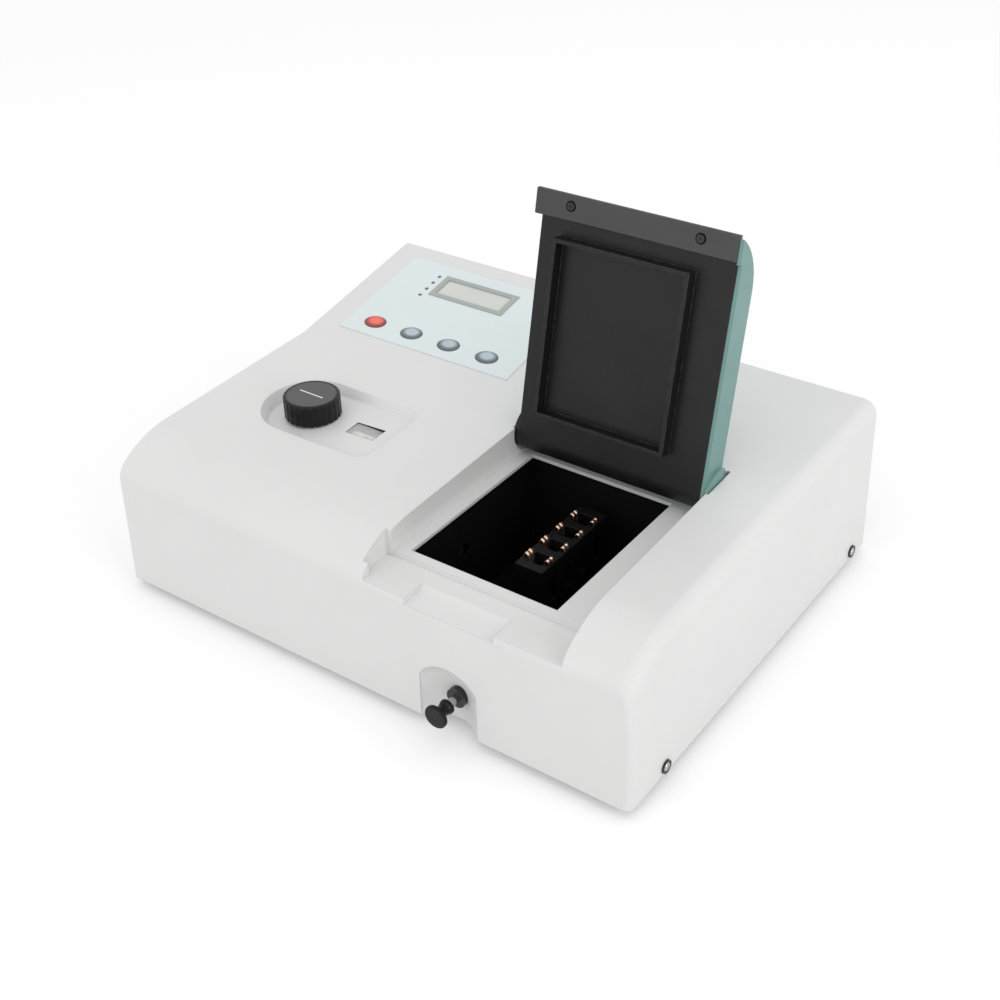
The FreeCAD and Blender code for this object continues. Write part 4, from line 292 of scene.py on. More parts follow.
def placed_effect(tree, make, sockets):
    """Put a shared effect into a material, making its group the first time."""
    if make not in EFFECTS:
        EFFECTS[make] = make()
    node = tree.nodes.new("ShaderNodeGroup")
    node.node_tree = EFFECTS[make]
    for label, value in sockets.items():
        if isinstance(value, bpy.types.NodeSocket):
            tree.links.new(value, node.inputs[label])
        else:
            node.inputs[label].default_value = value
    return node


def mixed(tree, share, first, second, blend="MIX"):
    """Colour between two colours, as a socket."""
    node = shader_node(tree, "Mix", {0: share}, data_type="RGBA", blend_type=blend)
    for index, value in ((6, first), (7, second)):
        if isinstance(value, bpy.types.NodeSocket):
            tree.links.new(value, node.inputs[index])
        else:
            node.inputs[index].default_value = value
    return node.outputs[2]


def rgba(value, gain=1.0):
    return tuple(min(1.0, part * gain) for part in value[:3]) + (1.0,)


def finish(name, base, rough=(0.4, 0.55), cell=0.0009, depth=0.00003, tone=0.06, metal=0.0, coat=0.0,
           wear=None, soft=0.0, lines=0.0, paint=None, alpha=1.0, smudge=28.0, shine=0.5, painted_glow=0.0):
    """Surface with grain, uneven tone, handling marks and, where given, tool lines and rubbed corners."""
    material = bpy.data.materials.new(name)
    material.use_nodes = True
    tree = material.node_tree
    shader = tree.nodes["Principled BSDF"]
    place = shader_node(tree, "TexCoord").outputs["Object"]
    grain = placed_effect(tree, moulded_grain, {"Place": place, "Cell": cell})
    marks = placed_effect(tree, handling_marks, {"Place": place, "Scale": smudge})
    hue = paint(tree, place) if paint else rgba(base)
    dark = mixed(tree, 1.0, hue, rgba((1.0 - tone,) * 3), "MULTIPLY")
    body = mixed(tree, grain.outputs["Tone"], hue, dark)
    gloss = shader_node(tree, "MapRange", {"Value": marks.outputs["Mask"], "From Max": 0.6,
                                           "To Min": rough[0], "To Max": rough[1]}).outputs[0]
    if wear:
        worn_colour, radius = wear
        worn = placed_effect(tree, edge_wear, {"Place": place, "Radius": radius}).outputs["Mask"]
        body = mixed(tree, worn, body, rgba(worn_colour))
    height = grain.outputs["Height"]
    if lines:
        height = placed_effect(tree, drawn_lines, {"Place": place, "Spacing": lines}).outputs["Height"]
    bump = shader_node(tree, "Bump", {"Strength": 1.0, "Distance": depth, "Height": height})
    if soft:
        rounded = shader_node(tree, "Bevel", {"Radius": soft}, samples=4)
        tree.links.new(rounded.outputs[0], bump.inputs["Normal"])
    tree.links.new(body, shader.inputs["Base Color"])
    tree.links.new(gloss, shader.inputs["Roughness"])
    tree.links.new(bump.outputs[0], shader.inputs["Normal"])
    shader.inputs["Metallic"].default_value = metal
    shader.inputs["Coat Weight"].default_value = coat
    shader.inputs["Specular IOR Level"].default_value = shine
    shader.inputs["Alpha"].default_value = alpha
    # Painted glow: the surface gives off light of its own colour, though it is no lamp
    if painted_glow:
        tree.links.new(body, shader.inputs["Emission Color"])
        shader.inputs["Emission Strength"].default_value = painted_glow
    return material


def join_collection(piece):
    bpy.context.scene.collection.objects.link(piece)
    return piece


def body_of(node):
    return frame["nodes"][node]["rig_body"]


def skin(node, material, angle=32.0, edge=0.0):
    """Merged, smooth copy of a CAD node that stands for it, with softened edges where given."""
    mesh = frame["nodes"][node].data.copy()
    mesh.name = node + "_skin"
    form = bmesh.new()
    form.from_mesh(mesh)
    bmesh.ops.remove_doubles(form, verts=form.verts, dist=2e-6)
    bmesh.ops.dissolve_degenerate(form, edges=form.edges, dist=1e-6)
    if edge:
        bmesh.ops.dissolve_limit(form, angle_limit=math.radians(0.5), verts=form.verts, edges=form.edges)
    limit = math.radians(angle)
    for face in form.faces:
        face.smooth = True
        face.material_index = 0
    for line in form.edges:
        line.smooth = len(line.link_faces) == 2 and line.calc_face_angle(0.0) < limit
    form.to_mesh(mesh)
    form.free()
    mesh.materials.clear()
    mesh.materials.append(material)
    piece = join_collection(bpy.data.objects.new(node + "_skin", mesh))
    if edge:
        soften(piece, edge, angle)
    weigh = piece.modifiers.new("Flat faces", "WEIGHTED_NORMAL")
    weigh.keep_sharp = True
    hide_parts(node)
    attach(piece, body_of(node))
    return piece


def soften(piece, width, angle=32.0, segments=2):
    """Small round along the hard edges."""
    bevel = piece.modifiers.new("Soft edges", "BEVEL")
    bevel.width = width
    bevel.segments = segments
    bevel.limit_method = "ANGLE"
    bevel.angle_limit = math.radians(angle)
    bevel.harden_normals = False


def coat_node(node, material):
    """Give a CAD node that stays as it is its finish."""
    mesh = frame["nodes"][node].data
    mesh.materials.clear()
    mesh.materials.append(material)


def made(form, name, material, body):
    """Turn a bmesh into a piece that rides on a body."""
    mesh = bpy.data.meshes.new(name)
    bmesh.ops.recalc_face_normals(form, faces=form.faces)
    form.to_mesh(mesh)
    form.free()
    mesh.materials.append(material)
    piece = join_collection(bpy.data.objects.new(name, mesh))
    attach(piece, body)
    return piece


def rounded_bar(length, width, height, corner):
    """Bar with rounded upright edges, centred on the origin."""
    form = bmesh.new()
    bmesh.ops.create_cube(form, size=1.0)
    bmesh.ops.scale(form, vec=(length, width, height), verts=form.verts)
    upright = [edge for edge in form.edges if abs(edge.verts[0].co.z - edge.verts[1].co.z) > height / 2]
    bmesh.ops.bevel(form, geom=upright, offset=corner, offset_type="OFFSET", segments=4, profile=0.5,
                    affect="EDGES", material=-1)
    return form


def closed_tube(form, rings):
    """Faces between each ring of corners and the next, and from the last back to the first."""
    for first, second in zip(rings, rings[1:] + rings[:1]):
        for index in range(len(first)):
            after = (index + 1) % len(first)
            form.faces.new((first[index], first[after], second[after], second[index]))


def flat_ring(outer, inner, height, sides=48):
    """Flat ring round Z, standing on the origin's level."""
    form = bmesh.new()
    turns = [2 * math.pi * index / sides for index in range(sides)]
    rings = [[form.verts.new((radius * math.cos(turn), radius * math.sin(turn), level)) for turn in turns]
             for radius, level in ((inner, 0.0), (outer, 0.0), (outer, height), (inner, height))]
    closed_tube(form, rings)
    return form


class SPECTRO_OT_housing(Operator):
    """Moulded cover with its screws and washers, the floor pan and the feet"""
    bl_idname = "spectro.housing"
    bl_label = "Housing"

    def execute(self, context):
        look = context.scene.spectro_housing
        cover = finish("cover_plastic", look.cover, rough=(0.42, 0.55), cell=look.grain, depth=0.000035,
                       tone=0.025, soft=look.softness, smudge=14.0)
        skin("top_cover", cover, angle=28.0)
        pan = finish("zinc_pan", look.pan, rough=(0.32, 0.5), cell=0.004, depth=0.00001, tone=0.12,
                     metal=1.0)
        skin("base_plate", pan, edge=0.0002)
        feet = finish("foot_rubber", look.rubber, rough=(0.65, 0.85), cell=0.0006, depth=0.00005,
                      tone=0.25, wear=((0.09, 0.09, 0.09), 0.0008))
        skin("rubber_feet", feet, edge=0.0008)
        black = finish("washer_plastic", (0.02, 0.02, 0.021), rough=(0.3, 0.45), cell=0.0005,
                       depth=0.00001, tone=0.2, coat=0.1)
        skin("cover_washers", black, edge=0.0002)
        plated = finish("screw_plating", look.fixings, rough=(0.2, 0.38), cell=0.0005, depth=0.000006,
                        tone=0.15, metal=1.0, wear=((0.3, 0.28, 0.26), 0.0003))
        skin("cover_screws", plated, edge=0.0001)
        return {"FINISHED"}


class SPECTRO_OT_lid(Operator):
    """Raised chamber lid: teal shell, black inner plate, finger strip, screws and hinge pins"""
    bl_idname = "spectro.lid"
    bl_label = "Chamber lid"

    def execute(self, context):
        look = context.scene.spectro_lid
        shell = finish("lid_paint", look.shell, rough=(0.34, 0.48), cell=0.0009, depth=0.00003, tone=0.08,
                       soft=0.0012, coat=0.05)
        skin("lid_shell", shell, angle=28.0)
        liner = finish("liner_plastic", look.liner, rough=(0.36, 0.52), cell=0.0011, depth=0.00004,
                       tone=0.2, soft=0.0008, wear=((0.09, 0.09, 0.09), 0.0009), shine=0.3)
        skin("lid_liner", liner, angle=28.0)
        lip = finish("lip_plastic", look.lip, rough=(0.34, 0.5), cell=0.001, depth=0.00003, tone=0.12,
                     wear=((0.26, 0.26, 0.26), 0.0007))
        skin("lid_lip", lip, edge=0.0004)
        dark = finish("lid_screw_black", (0.05, 0.05, 0.052), rough=(0.25, 0.4), cell=0.0004,
                      depth=0.00001, tone=0.2, metal=0.8)
        skin("lid_screws", dark, edge=0.0001)
        pin = finish("pin_steel", (0.5, 0.5, 0.51), rough=(0.2, 0.35), cell=0.0006, depth=0.000005,
                     tone=0.1, metal=1.0)
        skin("hinge_pins", pin)
        return {"FINISHED"}


def key_painted_shading(node, hue):
    """Colour for an oval key with painted light and shade: a lighter, lit-looking middle and a darker, shaded
    rim, as a domed cap would show.
    """
    low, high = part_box(node)
    middle = (low + high) / 2

    def paint(tree, place):
        centred = shader_node(tree, "Mapping", {"Vector": place, "Location": tuple(-part for part in middle)})
        squeezed = shader_node(tree, "Mapping", {"Vector": centred.outputs[0],
                                                 "Scale": (1 / KEY_HALF_LONG, 1 / KEY_HALF_SHORT, 0.0)})
        reach = shader_node(tree, "VectorMath", {0: squeezed.outputs[0]}, operation="LENGTH")
        # Painted light and shade of a dome: the middle is lightened to 1.55 of the hue, the rim darkened to
        # 0.4
        ramp = shader_node(tree, "ValToRGB", {0: reach.outputs["Value"]})
        stops = ramp.color_ramp.elements
        stops[0].position = 0.5
        stops[0].color = rgba(hue, 1.55)
        stops[1].position = 0.68
        stops[1].color = rgba(hue, 0.85)
        rim = stops.new(0.86)
        rim.color = rgba(hue, 0.4)
        return ramp.outputs[0]

    return paint


class SPECTRO_OT_keypad(Operator):
    """Keypad film, four oval keys, display frame and glass, and the status lamps"""
    bl_idname = "spectro.keypad"
    bl_label = "Keypad and display"

    def execute(self, context):
        look = context.scene.spectro_keypad
        film = finish("keypad_film", look.film, rough=(0.3, 0.42), cell=0.0005, depth=0.000012, tone=0.02,
                      coat=0.15)
        skin("keypad_overlay", film, edge=0.0001)
        bezel = finish("display_frame", look.bezel, rough=(0.3, 0.45), cell=0.0006, depth=0.00001,
                       tone=0.08, wear=((0.5, 0.52, 0.52), 0.0005))
        skin("lcd_bezel", bezel, edge=0.0003)
        glass = finish("display_face", look.glass, rough=(0.12, 0.2), cell=0.003, depth=0.000002,
                       tone=0.06, coat=0.6)
        skin("lcd_glass", glass)
        lamp = finish("lamp_lens", look.lamp, rough=(0.1, 0.2), cell=0.0008, depth=0.000003, tone=0.2,
                      coat=0.5)
        skin("status_lamps", lamp, edge=0.0003)
        for node, hue, slot in (("mode_key", look.mode_key, "key_red"), ("zero_key", look.key, "key_grey"),
                                ("full_scale_key", look.key, "key_grey"),
                                ("print_key", look.key, "key_grey")):
            # Each key's colour carries a painted lit middle and a painted shaded rim
            cap = finish(node + "_rubber", hue, rough=(0.32, 0.46), cell=0.0005, depth=0.00001, tone=0.08,
                         coat=0.25, paint=key_painted_shading(node, hue))
            skin(node, cap, edge=0.0005)
        board = finish("board_lacquer", (0.02, 0.16, 0.06), rough=(0.25, 0.45), cell=0.0012,
                       depth=0.00004, tone=0.35)
        coat_node("key_board", board)
        coat_node("main_board", board)
        return {"FINISHED"}


class SPECTRO_OT_wavelength_knob(Operator):
    """Black dimpled knob with its lined disc and white index line"""
    bl_idname = "spectro.wavelength_knob"
    bl_label = "Wavelength knob"

    def execute(self, context):
        look = context.scene.spectro_drive
        knob = finish("knob_plastic", look.knob, rough=(0.22, 0.4), cell=0.0007, depth=0.00001, tone=0.2,
                      wear=((0.11, 0.11, 0.11), 0.0007), shine=0.27)
        skin("wavelength_knob", knob, angle=40.0, edge=0.0004)
        disc = finish("knob_disc_metal", look.disc, rough=(0.34, 0.5), depth=0.00003, tone=0.15,
                      metal=0.35, lines=0.00035)
        skin("knob_cap", disc, edge=0.0001)
        mark = finish("index_paint", look.mark, rough=(0.35, 0.5), cell=0.0004, depth=0.000008, tone=0.06)
        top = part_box("knob_cap")[1].z
        line = rounded_bar(INDEX_LENGTH, INDEX_WIDTH, 0.00026, 0.0004)
        bmesh.ops.translate(line, vec=(KNOB_AXIS.x, KNOB_AXIS.y, top - 0.0001), verts=line.verts)
        made(line, "index_line", mark, body_of("knob_cap"))
        return {"FINISHED"}


def figure_mesh(words, height):
    """Printed figures as a flat mesh round the origin, cut into narrow bands so that it can bend."""
    curve = bpy.data.curves.new("figures", "FONT")
    curve.body = words
    curve.size = height
    curve.align_x = "CENTER"
    curve.align_y = "CENTER"
    curve.resolution_u = 3
    holder = join_collection(bpy.data.objects.new("figures", curve))
    context = bpy.context.evaluated_depsgraph_get()
    flat = bpy.data.meshes.new_from_object(holder.evaluated_get(context))
    bpy.data.objects.remove(holder)
    bpy.data.curves.remove(curve)
    form = bmesh.new()
    form.from_mesh(flat)
    bpy.data.meshes.remove(flat)
    bands = 6
    for band in range(1, bands):
        level = height * (band / bands - 0.5)
        bmesh.ops.bisect_plane(form, geom=form.verts[:] + form.edges[:] + form.faces[:],
                               plane_co=(0.0, level, 0.0), plane_no=(0.0, 1.0, 0.0))
    return form


def drum_figures(labels, x, height, name, material, body):
    """Figures spaced evenly round a drum, upright when they are at its top."""
    ring = bmesh.new()
    for index, words in enumerate(labels):
        form = figure_mesh(words, height)
        turn = -2 * math.pi * index / len(labels)
        radius = DRUM_FACE + INK_LIFT
        for vert in form.verts:
            angle = turn + vert.co.y / radius
            vert.co = Vector((x + vert.co.x, DRUM_AXIS.y + radius * math.sin(angle),
                              DRUM_AXIS.z + radius * math.cos(angle)))
        band = bpy.data.meshes.new("band")
        form.to_mesh(band)
        form.free()
        ring.from_mesh(band)
        bpy.data.meshes.remove(band)
    mesh = bpy.data.meshes.new(name)
    ring.to_mesh(mesh)
    ring.free()
    mesh.materials.append(material)
    piece = join_collection(bpy.data.objects.new(name, mesh))
    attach(piece, body)
    return piece


def unit_ticks(hue, ink):
    """Paint for the unit drum: fifty short ticks along its right-hand rim."""
    def paint(tree, place):
        centred = shader_node(tree, "Mapping", {"Vector": place, "Location": tuple(-DRUM_AXIS)})
        parts = shader_node(tree, "SeparateXYZ", {0: centred.outputs[0]})
        angle = shader_node(tree, "Math", {0: parts.outputs["Y"], 1: parts.outputs["Z"]},
                            operation="ARCTAN2")
        turns = shader_node(tree, "Math", {0: angle.outputs[0], 1: TICKS / (2 * math.pi)},
                            operation="MULTIPLY")
        saw = shader_node(tree, "Math", {0: turns.outputs[0], 1: 0.5}, operation="ADD")
        share = shader_node(tree, "Math", {0: saw.outputs[0]}, operation="FRACT")
        off = shader_node(tree, "Math", {0: share.outputs[0], 1: 0.5}, operation="SUBTRACT")
        near = shader_node(tree, "Math", {0: off.outputs[0]}, operation="ABSOLUTE")
        thin = shader_node(tree, "Math", {0: near.outputs[0], 1: TICK_HALF}, operation="LESS_THAN")
        right = shader_node(tree, "Math", {0: parts.outputs["X"], 1: TICKS_FROM_X},
                            operation="GREATER_THAN")
        tick = shader_node(tree, "Math", {0: thin.outputs[0], 1: right.outputs[0]}, operation="MULTIPLY")
        return mixed(tree, tick.outputs[0], rgba(hue), rgba(ink))

    return paint


def window_tube(outer, inner, low, top_at):
    """Thin-walled tube that follows the window's cut, from a level up to the height that top_at gives."""
    form = bmesh.new()
    half = (WINDOW_HIGH - WINDOW_LOW) / 2
    middle = (WINDOW_LOW + WINDOW_HIGH) / 2
    rings = []
    for inset, raised in ((outer, False), (outer, True), (inner, True), (inner, False)):
        ring = []
        for right, back in ((-1, -1), (1, -1), (1, 1), (-1, 1)):
            across = right * (half.x - inset)
            along = back * (half.y - inset)
            height = top_at(across, along) if raised else low
            ring.append(form.verts.new((middle.x + across, middle.y + along, height)))
        rings.append(ring)
    closed_tube(form, rings)
    return form


def pane_underside(across, along):
    """Level of the pane's underside, the same all over."""
    return WINDOW_HIGH.z


def dish_height(across, along):
    """Height of the dish's slanted floor at a distance from the window's middle."""
    return DISH_AT_WINDOW + across * DISH_RISE.x + along * DISH_RISE.y


class SPECTRO_OT_counter(Operator):
    """Counter under its clear pane: two drums with plain figures, their shafts, nut and frame"""
    bl_idname = "spectro.counter"
    bl_label = "Wavelength counter"

    def execute(self, context):
        look = context.scene.spectro_drive
        # The drums carry a painted glow so that they read light under the pane
        plain = finish("drum_plastic", look.drum, rough=(0.35, 0.5), cell=0.0006, depth=0.00001, tone=0.04,
                       painted_glow=look.painted_drum_glow)
        ticked = finish("unit_drum_plastic", look.drum, rough=(0.35, 0.5), cell=0.0006, depth=0.00001,
                        tone=0.04, paint=unit_ticks(look.drum, look.figure), painted_glow=look.painted_drum_glow)
        skin("fine_drum", ticked, edge=0.0001)
        skin("hundreds_drum", plain, edge=0.0001)
        ink = finish("figure_ink", look.figure, rough=(0.4, 0.55), cell=0.0004, depth=0.000004, tone=0.2)
        units = ["%02d" % (10 * ((index + UNIT_AT_REST) % 10)) for index in range(UNIT_LABELS)]
        hundreds = [str((index + HUNDRED_AT_REST) % 10) for index in range(10)]
        drum_figures(units, UNIT_FIGURES_X, look.figure_height, "unit_figures", ink,
                     body_of("fine_drum"))
        drum_figures(hundreds, HUNDRED_FIGURES_X, look.figure_height, "hundred_figures", ink,
                     body_of("hundreds_drum"))
        # Painted reflection: the pane's pale, part-opaque colour stands for the bright room mirrored in the
        # glass
        pane = finish("clear_pane", (0.88, 0.9, 0.9), rough=(0.05, 0.1), cell=0.004, depth=0.000001,
                      tone=0.03, alpha=0.36)
        skin("counter_window", pane)
        # Painted shade: a black sleeve under the pane and a black lining above it darken the window's walls
        # where shade falls
        shade_black = finish("window_painted_shade", (0.02, 0.02, 0.02), rough=(0.6, 0.8), cell=0.0006, depth=0.00002,
                      tone=0.2, shine=0.2)
        shade_sleeve = window_tube(0.0, SHADE_SLEEVE_WALL, WINDOW_LOW.z, pane_underside)
        made(shade_sleeve, "window_sleeve", shade_black, body_of("counter_window"))
        shade_lining = window_tube(*SHADE_LINING_INSETS, PANE_TOP, dish_height)
        made(shade_lining, "window_lining", shade_black, body_of("counter_window"))
        brass = finish("drive_brass", (0.62, 0.44, 0.18), rough=(0.25, 0.42), cell=0.0009,
                       depth=0.00001, tone=0.2, metal=1.0, wear=((0.8, 0.62, 0.3), 0.0004))
        skin("screw_nut", brass, edge=0.0002)
        steel = finish("shaft_steel", (0.5, 0.5, 0.51), rough=(0.22, 0.4), cell=0.0006, depth=0.000008,
                       tone=0.12, metal=1.0)
        skin("knob_shaft", steel)
        skin("cross_shaft", steel)
        cast = finish("counter_alloy", (0.42, 0.42, 0.43), rough=(0.4, 0.6), cell=0.0015, depth=0.00006,
                      tone=0.18, metal=0.9)
        skin("counter_frame", cast, edge=0.0003)
        return {"FINISHED"}


def smooth_line(points, steps):
    """Even curve through a row of points, with its direction at each place."""
    line = []
    last = len(points) - 1
    for index in range(last):
        p0, p1, p2, p3 = (Vector(points[min(max(index + shift, 0), last)]) for shift in (-1, 0, 1, 2))
        for step in range(steps + (index == last - 1)):
            t = step / steps
            place = 0.5 * (2 * p1 + (p2 - p0) * t + (2 * p0 - 5 * p1 + 4 * p2 - p3) * t ** 2
                           + (3 * p1 - p0 - 3 * p2 + p3) * t ** 3)
            run = ((p2 - p0) + 2 * (2 * p0 - 5 * p1 + 4 * p2 - p3) * t
                   + 3 * (3 * p1 - p0 - 3 * p2 + p3) * t ** 2)
            line.append((place, run.normalized()))
    return line


def spring_tongue(form, side, middle_y, width, rise):
    """One crowned tongue of a leaf spring, rolled over at its top."""
    across = 6
    rows = []
    for place, run in smooth_line(LEAF_LINE, 6):
        row = []
        for step in range(across + 1):
            share = 2 * step / across - 1
            crown = rise * (1 - share ** 2)
            x = place.x - run.y * crown
            row.append(form.verts.new((RACK_X + side * x, middle_y + share * width / 2,
                                       place.y + run.x * crown)))
        rows.append(row)
    for low, high in zip(rows, rows[1:]):
        for step in range(across):
            ring = (low[step], low[step + 1], high[step + 1], high[step])
            form.faces.new(ring if side > 0 else ring[::-1])


def leaf_springs():
    """Two forked leaves at each cell pocket, as one surface."""
    form = bmesh.new()
    for index in range(CELLS):
        for side in (-1, 1):
            for shift in (-TONGUE_SHIFT, TONGUE_SHIFT):
                middle = FIRST_CELL_Y + index * CELL_PITCH + shift
                spring_tongue(form, side, middle, TONGUE_WIDTH, TONGUE_RISE)
    for face in form.faces:
        face.smooth = True
    return form


class SPECTRO_OT_sample_chamber(Operator):
    """Black sample chamber with the cell rack, copper springs, guide rods and detector"""
    bl_idname = "spectro.sample_chamber"
    bl_label = "Sample chamber"

    def execute(self, context):
        look = context.scene.spectro_chamber
        walls = finish("chamber_paint", look.walls, rough=(0.7, 0.9), cell=0.0008, depth=0.00006,
                       tone=0.25, soft=0.0008, shine=0.15)
        skin("chamber_liner", walls, angle=28.0)
        rack = finish("rack_anodising", look.rack, rough=(0.42, 0.6), cell=0.0006, depth=0.00002,
                      tone=0.25, wear=((0.03, 0.03, 0.03), 0.0006), shine=0.25)
        skin("cell_rack", rack, edge=0.0003)
        skin("cell_carriage", rack, edge=0.0003)
        copper = finish("spring_copper", look.spring, rough=(0.24, 0.4), cell=0.0012, depth=0.00002,
                        tone=0.3, metal=1.0, wear=((0.98, 0.86, 0.76), 0.0004))
        leaves = made(leaf_springs(), "leaf_springs", copper, body_of("cell_springs"))
        thick = leaves.modifiers.new("Leaf", "SOLIDIFY")
        thick.thickness = LEAF_THICKNESS
        thick.offset = 0.0
        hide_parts("cell_springs")
        skin("detent_spring", copper, angle=50.0)
        rods = finish("guide_steel", look.rod, rough=(0.25, 0.4), cell=0.0008, depth=0.000006, tone=0.2,
                      metal=1.0)
        skin("guide_rods", rods)
        block = finish("detector_anodising", (0.03, 0.03, 0.032), rough=(0.4, 0.6), cell=0.0008,
                       depth=0.00002, tone=0.2)
        coat_node("detector_housing", block)
        can = finish("diode_can", (0.5, 0.5, 0.5), rough=(0.2, 0.35), cell=0.0008, depth=0.000006,
                     tone=0.15, metal=1.0)
        coat_node("photodiode", can)
        return {"FINISHED"}


class SPECTRO_OT_pull_rod(Operator):
    """Pull rod of the cell carriage with its black knob and collar"""
    bl_idname = "spectro.pull_rod"
    bl_label = "Pull rod"

    def execute(self, context):
        black = finish("pull_knob_plastic", (0.007, 0.007, 0.0075), rough=(0.2, 0.36), cell=0.0008,
                       depth=0.00001, tone=0.2, wear=((0.09, 0.09, 0.09), 0.0006), shine=0.22)
        skin("rod_knob", black, edge=0.0003)
        collar = finish("collar_anodising", (0.05, 0.05, 0.052), rough=(0.25, 0.4), cell=0.0006,
                        depth=0.00001, tone=0.2, metal=0.7, wear=((0.35, 0.35, 0.35), 0.0005))
        skin("rod_bush", collar, edge=0.0004)
        steel = finish("pull_rod_steel", (0.5, 0.5, 0.51), rough=(0.18, 0.32), cell=0.0006,
                       depth=0.000006, tone=0.1, metal=1.0)
        skin("pull_rod", steel)
        return {"FINISHED"}


class SPECTRO_OT_rear_fittings(Operator):
    """Rear panel with the mains inlet, fuse drawer, rocker switch, data port and cooling fan"""
    bl_idname = "spectro.rear_fittings"
    bl_label = "Rear fittings"

    def execute(self, context):
        paint = finish("panel_paint", (0.42, 0.43, 0.44), rough=(0.45, 0.6), cell=0.0012, depth=0.00005,
                       tone=0.06, soft=0.0004)
        skin("rear_panel", paint, angle=28.0)
        black = finish("fitting_plastic", (0.022, 0.022, 0.023), rough=(0.32, 0.5), cell=0.0007,
                       depth=0.00002, tone=0.2, wear=((0.09, 0.09, 0.09), 0.0004))
        for node in ("power_inlet", "fuse_drawer", "switch_housing", "power_rocker"):
            skin(node, black, edge=0.0003)
        coat_node("fan_frame", black)
        coat_node("fan_rotor", black)
        shell = finish("port_shell", (0.5, 0.5, 0.5), rough=(0.25, 0.4), cell=0.0006, depth=0.000008,
                       tone=0.12, metal=1.0)
        skin("data_port", shell, edge=0.0002)
        white = finish("switch_ink", (0.8, 0.8, 0.8), rough=(0.4, 0.55), cell=0.0005, depth=0.000004,
                       tone=0.05)
        upright = Matrix.Rotation(math.radians(-90.0), 4, "X")
        for form, name, (out, rise, lean) in ((flat_ring(0.0022, 0.0016, 0.00012), "off_mark", OFF_MARK),
                                              (rounded_bar(0.0006, 0.0044, 0.00024, 0.0002), "on_mark",
                                               ON_MARK)):
            place = Matrix.Translation(ROCKER_MIDDLE + Vector((0.0, out, rise)))
            bmesh.ops.transform(form, verts=form.verts,
                                matrix=place @ Matrix.Rotation(math.radians(lean), 4, "X") @ upright)
            made(form, name, white, body_of("power_rocker"))
        return {"FINISHED"}


class SPECTRO_OT_monochromator(Operator):
    """Optical bench, grating, mirrors, slits, lamp house and transformer under the cover"""
    bl_idname = "spectro.monochromator"
    bl_label = "Monochromator"

    def execute(self, context):
        cast = finish("bench_casting", (0.4, 0.4, 0.41), rough=(0.45, 0.65), cell=0.002, depth=0.0001,
                      tone=0.15, metal=0.85)
        for node in ("optical_bench", "mirror_mounts", "grating_table", "lamp_house"):
            coat_node(node, cast)
        slits = finish("slit_blacking", (0.02, 0.02, 0.02), rough=(0.6, 0.8), cell=0.0006, depth=0.00002,
                       tone=0.2)
        coat_node("slit_plates", slits)
        silver = finish("mirror_silver", (0.85, 0.85, 0.86), rough=(0.03, 0.08), cell=0.004,
                        depth=0.0000005, tone=0.03, metal=1.0)
        coat_node("bench_mirrors", silver)
        ruled = finish("grating_ruling", (0.75, 0.72, 0.8), rough=(0.08, 0.16), depth=0.000003, tone=0.1,
                       metal=1.0, lines=0.0002)
        coat_node("grating", ruled)
        china = finish("socket_ceramic", (0.75, 0.73, 0.68), rough=(0.35, 0.55), cell=0.001,
                       depth=0.00003, tone=0.08)
        coat_node("lamp_socket", china)
        for node, name in (("halogen_lamp", "lamp_quartz"), ("condenser_lens", "lens_glass")):
            clear = finish(name, (0.9, 0.92, 0.92), rough=(0.02, 0.06), cell=0.004, depth=0.000001,
                           tone=0.02)
            clear.node_tree.nodes["Principled BSDF"].inputs["Transmission Weight"].default_value = 0.9
            coat_node(node, clear)
        core = finish("core_steel", (0.2, 0.19, 0.18), rough=(0.4, 0.6), depth=0.00006, tone=0.3,
                      metal=0.8, lines=0.0005)
        coat_node("transformer", core)
        return {"FINISHED"}


def aim(place, yaw, pitch, roll):
    """Camera matrix that looks ahead along +Y, turned left, tipped down and rolled."""
    ahead = Vector((-math.sin(yaw) * math.cos(pitch), math.cos(yaw) * math.cos(pitch), -math.sin(pitch)))
    level = Vector((math.cos(yaw), math.sin(yaw), 0.0))
    above = level.cross(ahead)
    right = level * math.cos(roll) + above * math.sin(roll)
    up = above * math.cos(roll) - level * math.sin(roll)
    turn = Matrix((right, up, -ahead)).transposed()
    return Matrix.Translation(place) @ turn.to_4x4()


def lamp(name, size, power, place, target):
    """Large soft square lamp."""
    light = bpy.data.lights.new(name, "AREA")
    light.shape = "SQUARE"
    light.size = size
    light.energy = power
    holder = join_collection(bpy.data.objects.new(name, light))
    holder.location = place
    holder.rotation_euler = (Vector(target) - Vector(place)).to_track_quat("-Z", "Y").to_euler()
    return holder


def seen_by_camera(tree):
    """One where the camera, a reflection or a refraction looks, and nought for light on the object."""
    path = shader_node(tree, "LightPath")
    both = shader_node(tree, "Math", {0: path.outputs["Is Camera Ray"], 1: path.outputs["Is Glossy Ray"]},
                       operation="MAXIMUM")
    return shader_node(tree, "Math", {0: both.outputs[0], 1: path.outputs["Is Transmission Ray"]},
                       operation="MAXIMUM").outputs[0]


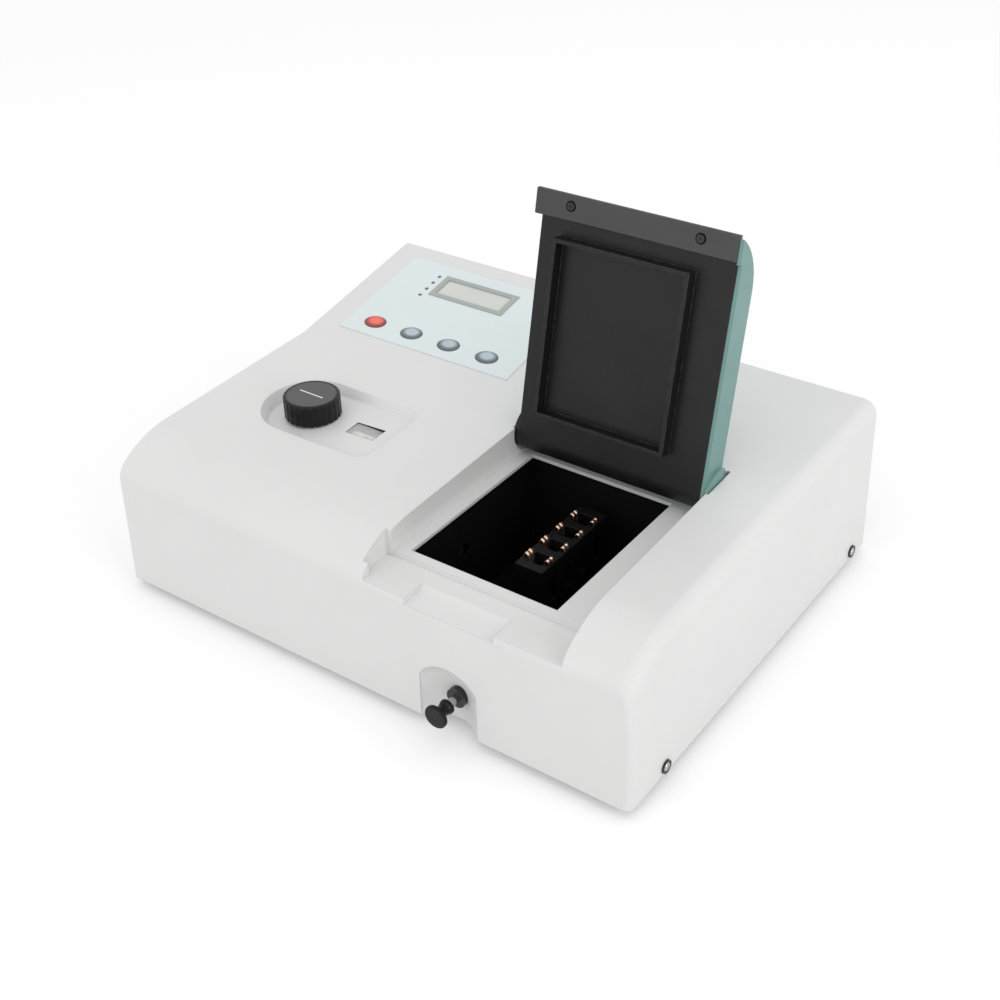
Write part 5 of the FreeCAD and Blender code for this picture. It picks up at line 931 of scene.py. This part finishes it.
class SPECTRO_OT_studio(Operator):
    """Camera, soft light, white surroundings and the plain pale floor"""
    bl_idname = "spectro.studio"
    bl_label = "Studio"

    def execute(self, context):
        look = context.scene.spectro_studio
        scene = context.scene
        scene.view_settings.view_transform = "Standard"
        camera = bpy.data.cameras.new("camera")
        camera.lens = look.lens
        camera.sensor_width = 36.0
        camera.clip_start = 0.01
        camera.clip_end = 50.0
        holder = join_collection(bpy.data.objects.new("camera", camera))
        holder.matrix_world = aim(Vector(look.place), look.yaw, look.pitch, look.roll)
        scene.camera = holder

        world = bpy.data.worlds.new("white_room")
        world.use_nodes = True
        scene.world = world
        sky = world.node_tree
        seen = seen_by_camera(sky)
        level = shader_node(sky, "MapRange", {"Value": seen, "To Min": look.sky, "To Max": 1.0})
        sky.links.new(level.outputs[0], sky.nodes["Background"].inputs["Strength"])
        sky.nodes["Background"].inputs["Color"].default_value = (1.0, 1.0, 1.0, 1.0)

        floor_paint = bpy.data.materials.new("floor_white")
        floor_paint.use_nodes = True
        tree = floor_paint.node_tree
        shader = tree.nodes["Principled BSDF"]
        shader.inputs["Base Color"].default_value = (0.86, 0.86, 0.86, 1.0)
        shader.inputs["Roughness"].default_value = 0.9
        shader.inputs["Specular IOR Level"].default_value = 0.0
        lift = shader_node(tree, "Math", {0: seen_by_camera(tree), 1: look.lift}, operation="MULTIPLY")
        tree.links.new(lift.outputs[0], shader.inputs["Emission Strength"])
        shader.inputs["Emission Color"].default_value = (1.0, 1.0, 1.0, 1.0)
        form = bmesh.new()
        bmesh.ops.create_circle(form, cap_ends=True, radius=9.0, segments=64)
        mesh = bpy.data.meshes.new("floor")
        form.to_mesh(mesh)
        form.free()
        mesh.materials.append(floor_paint)
        floor = join_collection(bpy.data.objects.new("floor", mesh))

        lamp("key_lamp", 1.6, look.key, (0.5, -0.5, 2.2), (0.0, 0.0, 0.1))
        lamp("front_lamp", 1.6, look.fill * look.front_share, (-0.5, -2.6, 0.9), (0.0, 0.0, 0.1))
        lamp("side_lamp", 1.6, look.fill, (2.5, -0.3, 1.0), (0.0, 0.0, 0.1))
        return {"FINISHED"}


class SPECTRO_PT_panel(Panel):
    """Sidebar panel that lists the looks and the steps"""
    bl_idname = "SPECTRO_PT_panel"
    bl_label = "Spectrophotometer"
    bl_space_type = "VIEW_3D"
    bl_region_type = "UI"
    bl_category = "Spectrophotometer"

    def draw(self, context):
        for name in LOOKS:
            group = getattr(context.scene, name)
            box = self.layout.box()
            box.label(text=name.replace("spectro_", "").capitalize())
            for key in group.__annotations__:
                box.prop(group, key)
        for step in STEPS:
            self.layout.operator(step.bl_idname)


LOOKS = {"spectro_housing": HousingLook, "spectro_lid": LidLook, "spectro_keypad": KeypadLook,
         "spectro_drive": DriveLook, "spectro_chamber": ChamberLook, "spectro_studio": StudioLook}
STEPS = (SPECTRO_OT_studio, SPECTRO_OT_housing, SPECTRO_OT_lid, SPECTRO_OT_keypad,
         SPECTRO_OT_wavelength_knob, SPECTRO_OT_counter, SPECTRO_OT_sample_chamber, SPECTRO_OT_pull_rod,
         SPECTRO_OT_rear_fittings, SPECTRO_OT_monochromator)


def register():
    for name, look in LOOKS.items():
        bpy.utils.register_class(look)
        setattr(bpy.types.Scene, name, PointerProperty(type=look))
    for step in STEPS:
        bpy.utils.register_class(step)
    bpy.utils.register_class(SPECTRO_PT_panel)


def unregister():
    bpy.utils.unregister_class(SPECTRO_PT_panel)
    for step in reversed(STEPS):
        bpy.utils.unregister_class(step)
    for name, look in LOOKS.items():
        delattr(bpy.types.Scene, name)
        bpy.utils.unregister_class(look)


def main():
    register()
    for thing in [item for item in bpy.data.objects if item.type in ("LIGHT", "CAMERA")]:
        bpy.data.objects.remove(thing)
    bpy.ops.spectro.studio()
    bpy.ops.spectro.housing()
    bpy.ops.spectro.lid()
    bpy.ops.spectro.keypad()
    bpy.ops.spectro.wavelength_knob()
    bpy.ops.spectro.counter()
    bpy.ops.spectro.sample_chamber()
    bpy.ops.spectro.pull_rod()
    bpy.ops.spectro.rear_fittings()
    bpy.ops.spectro.monochromator()


if __name__ == "__main__":
    main()
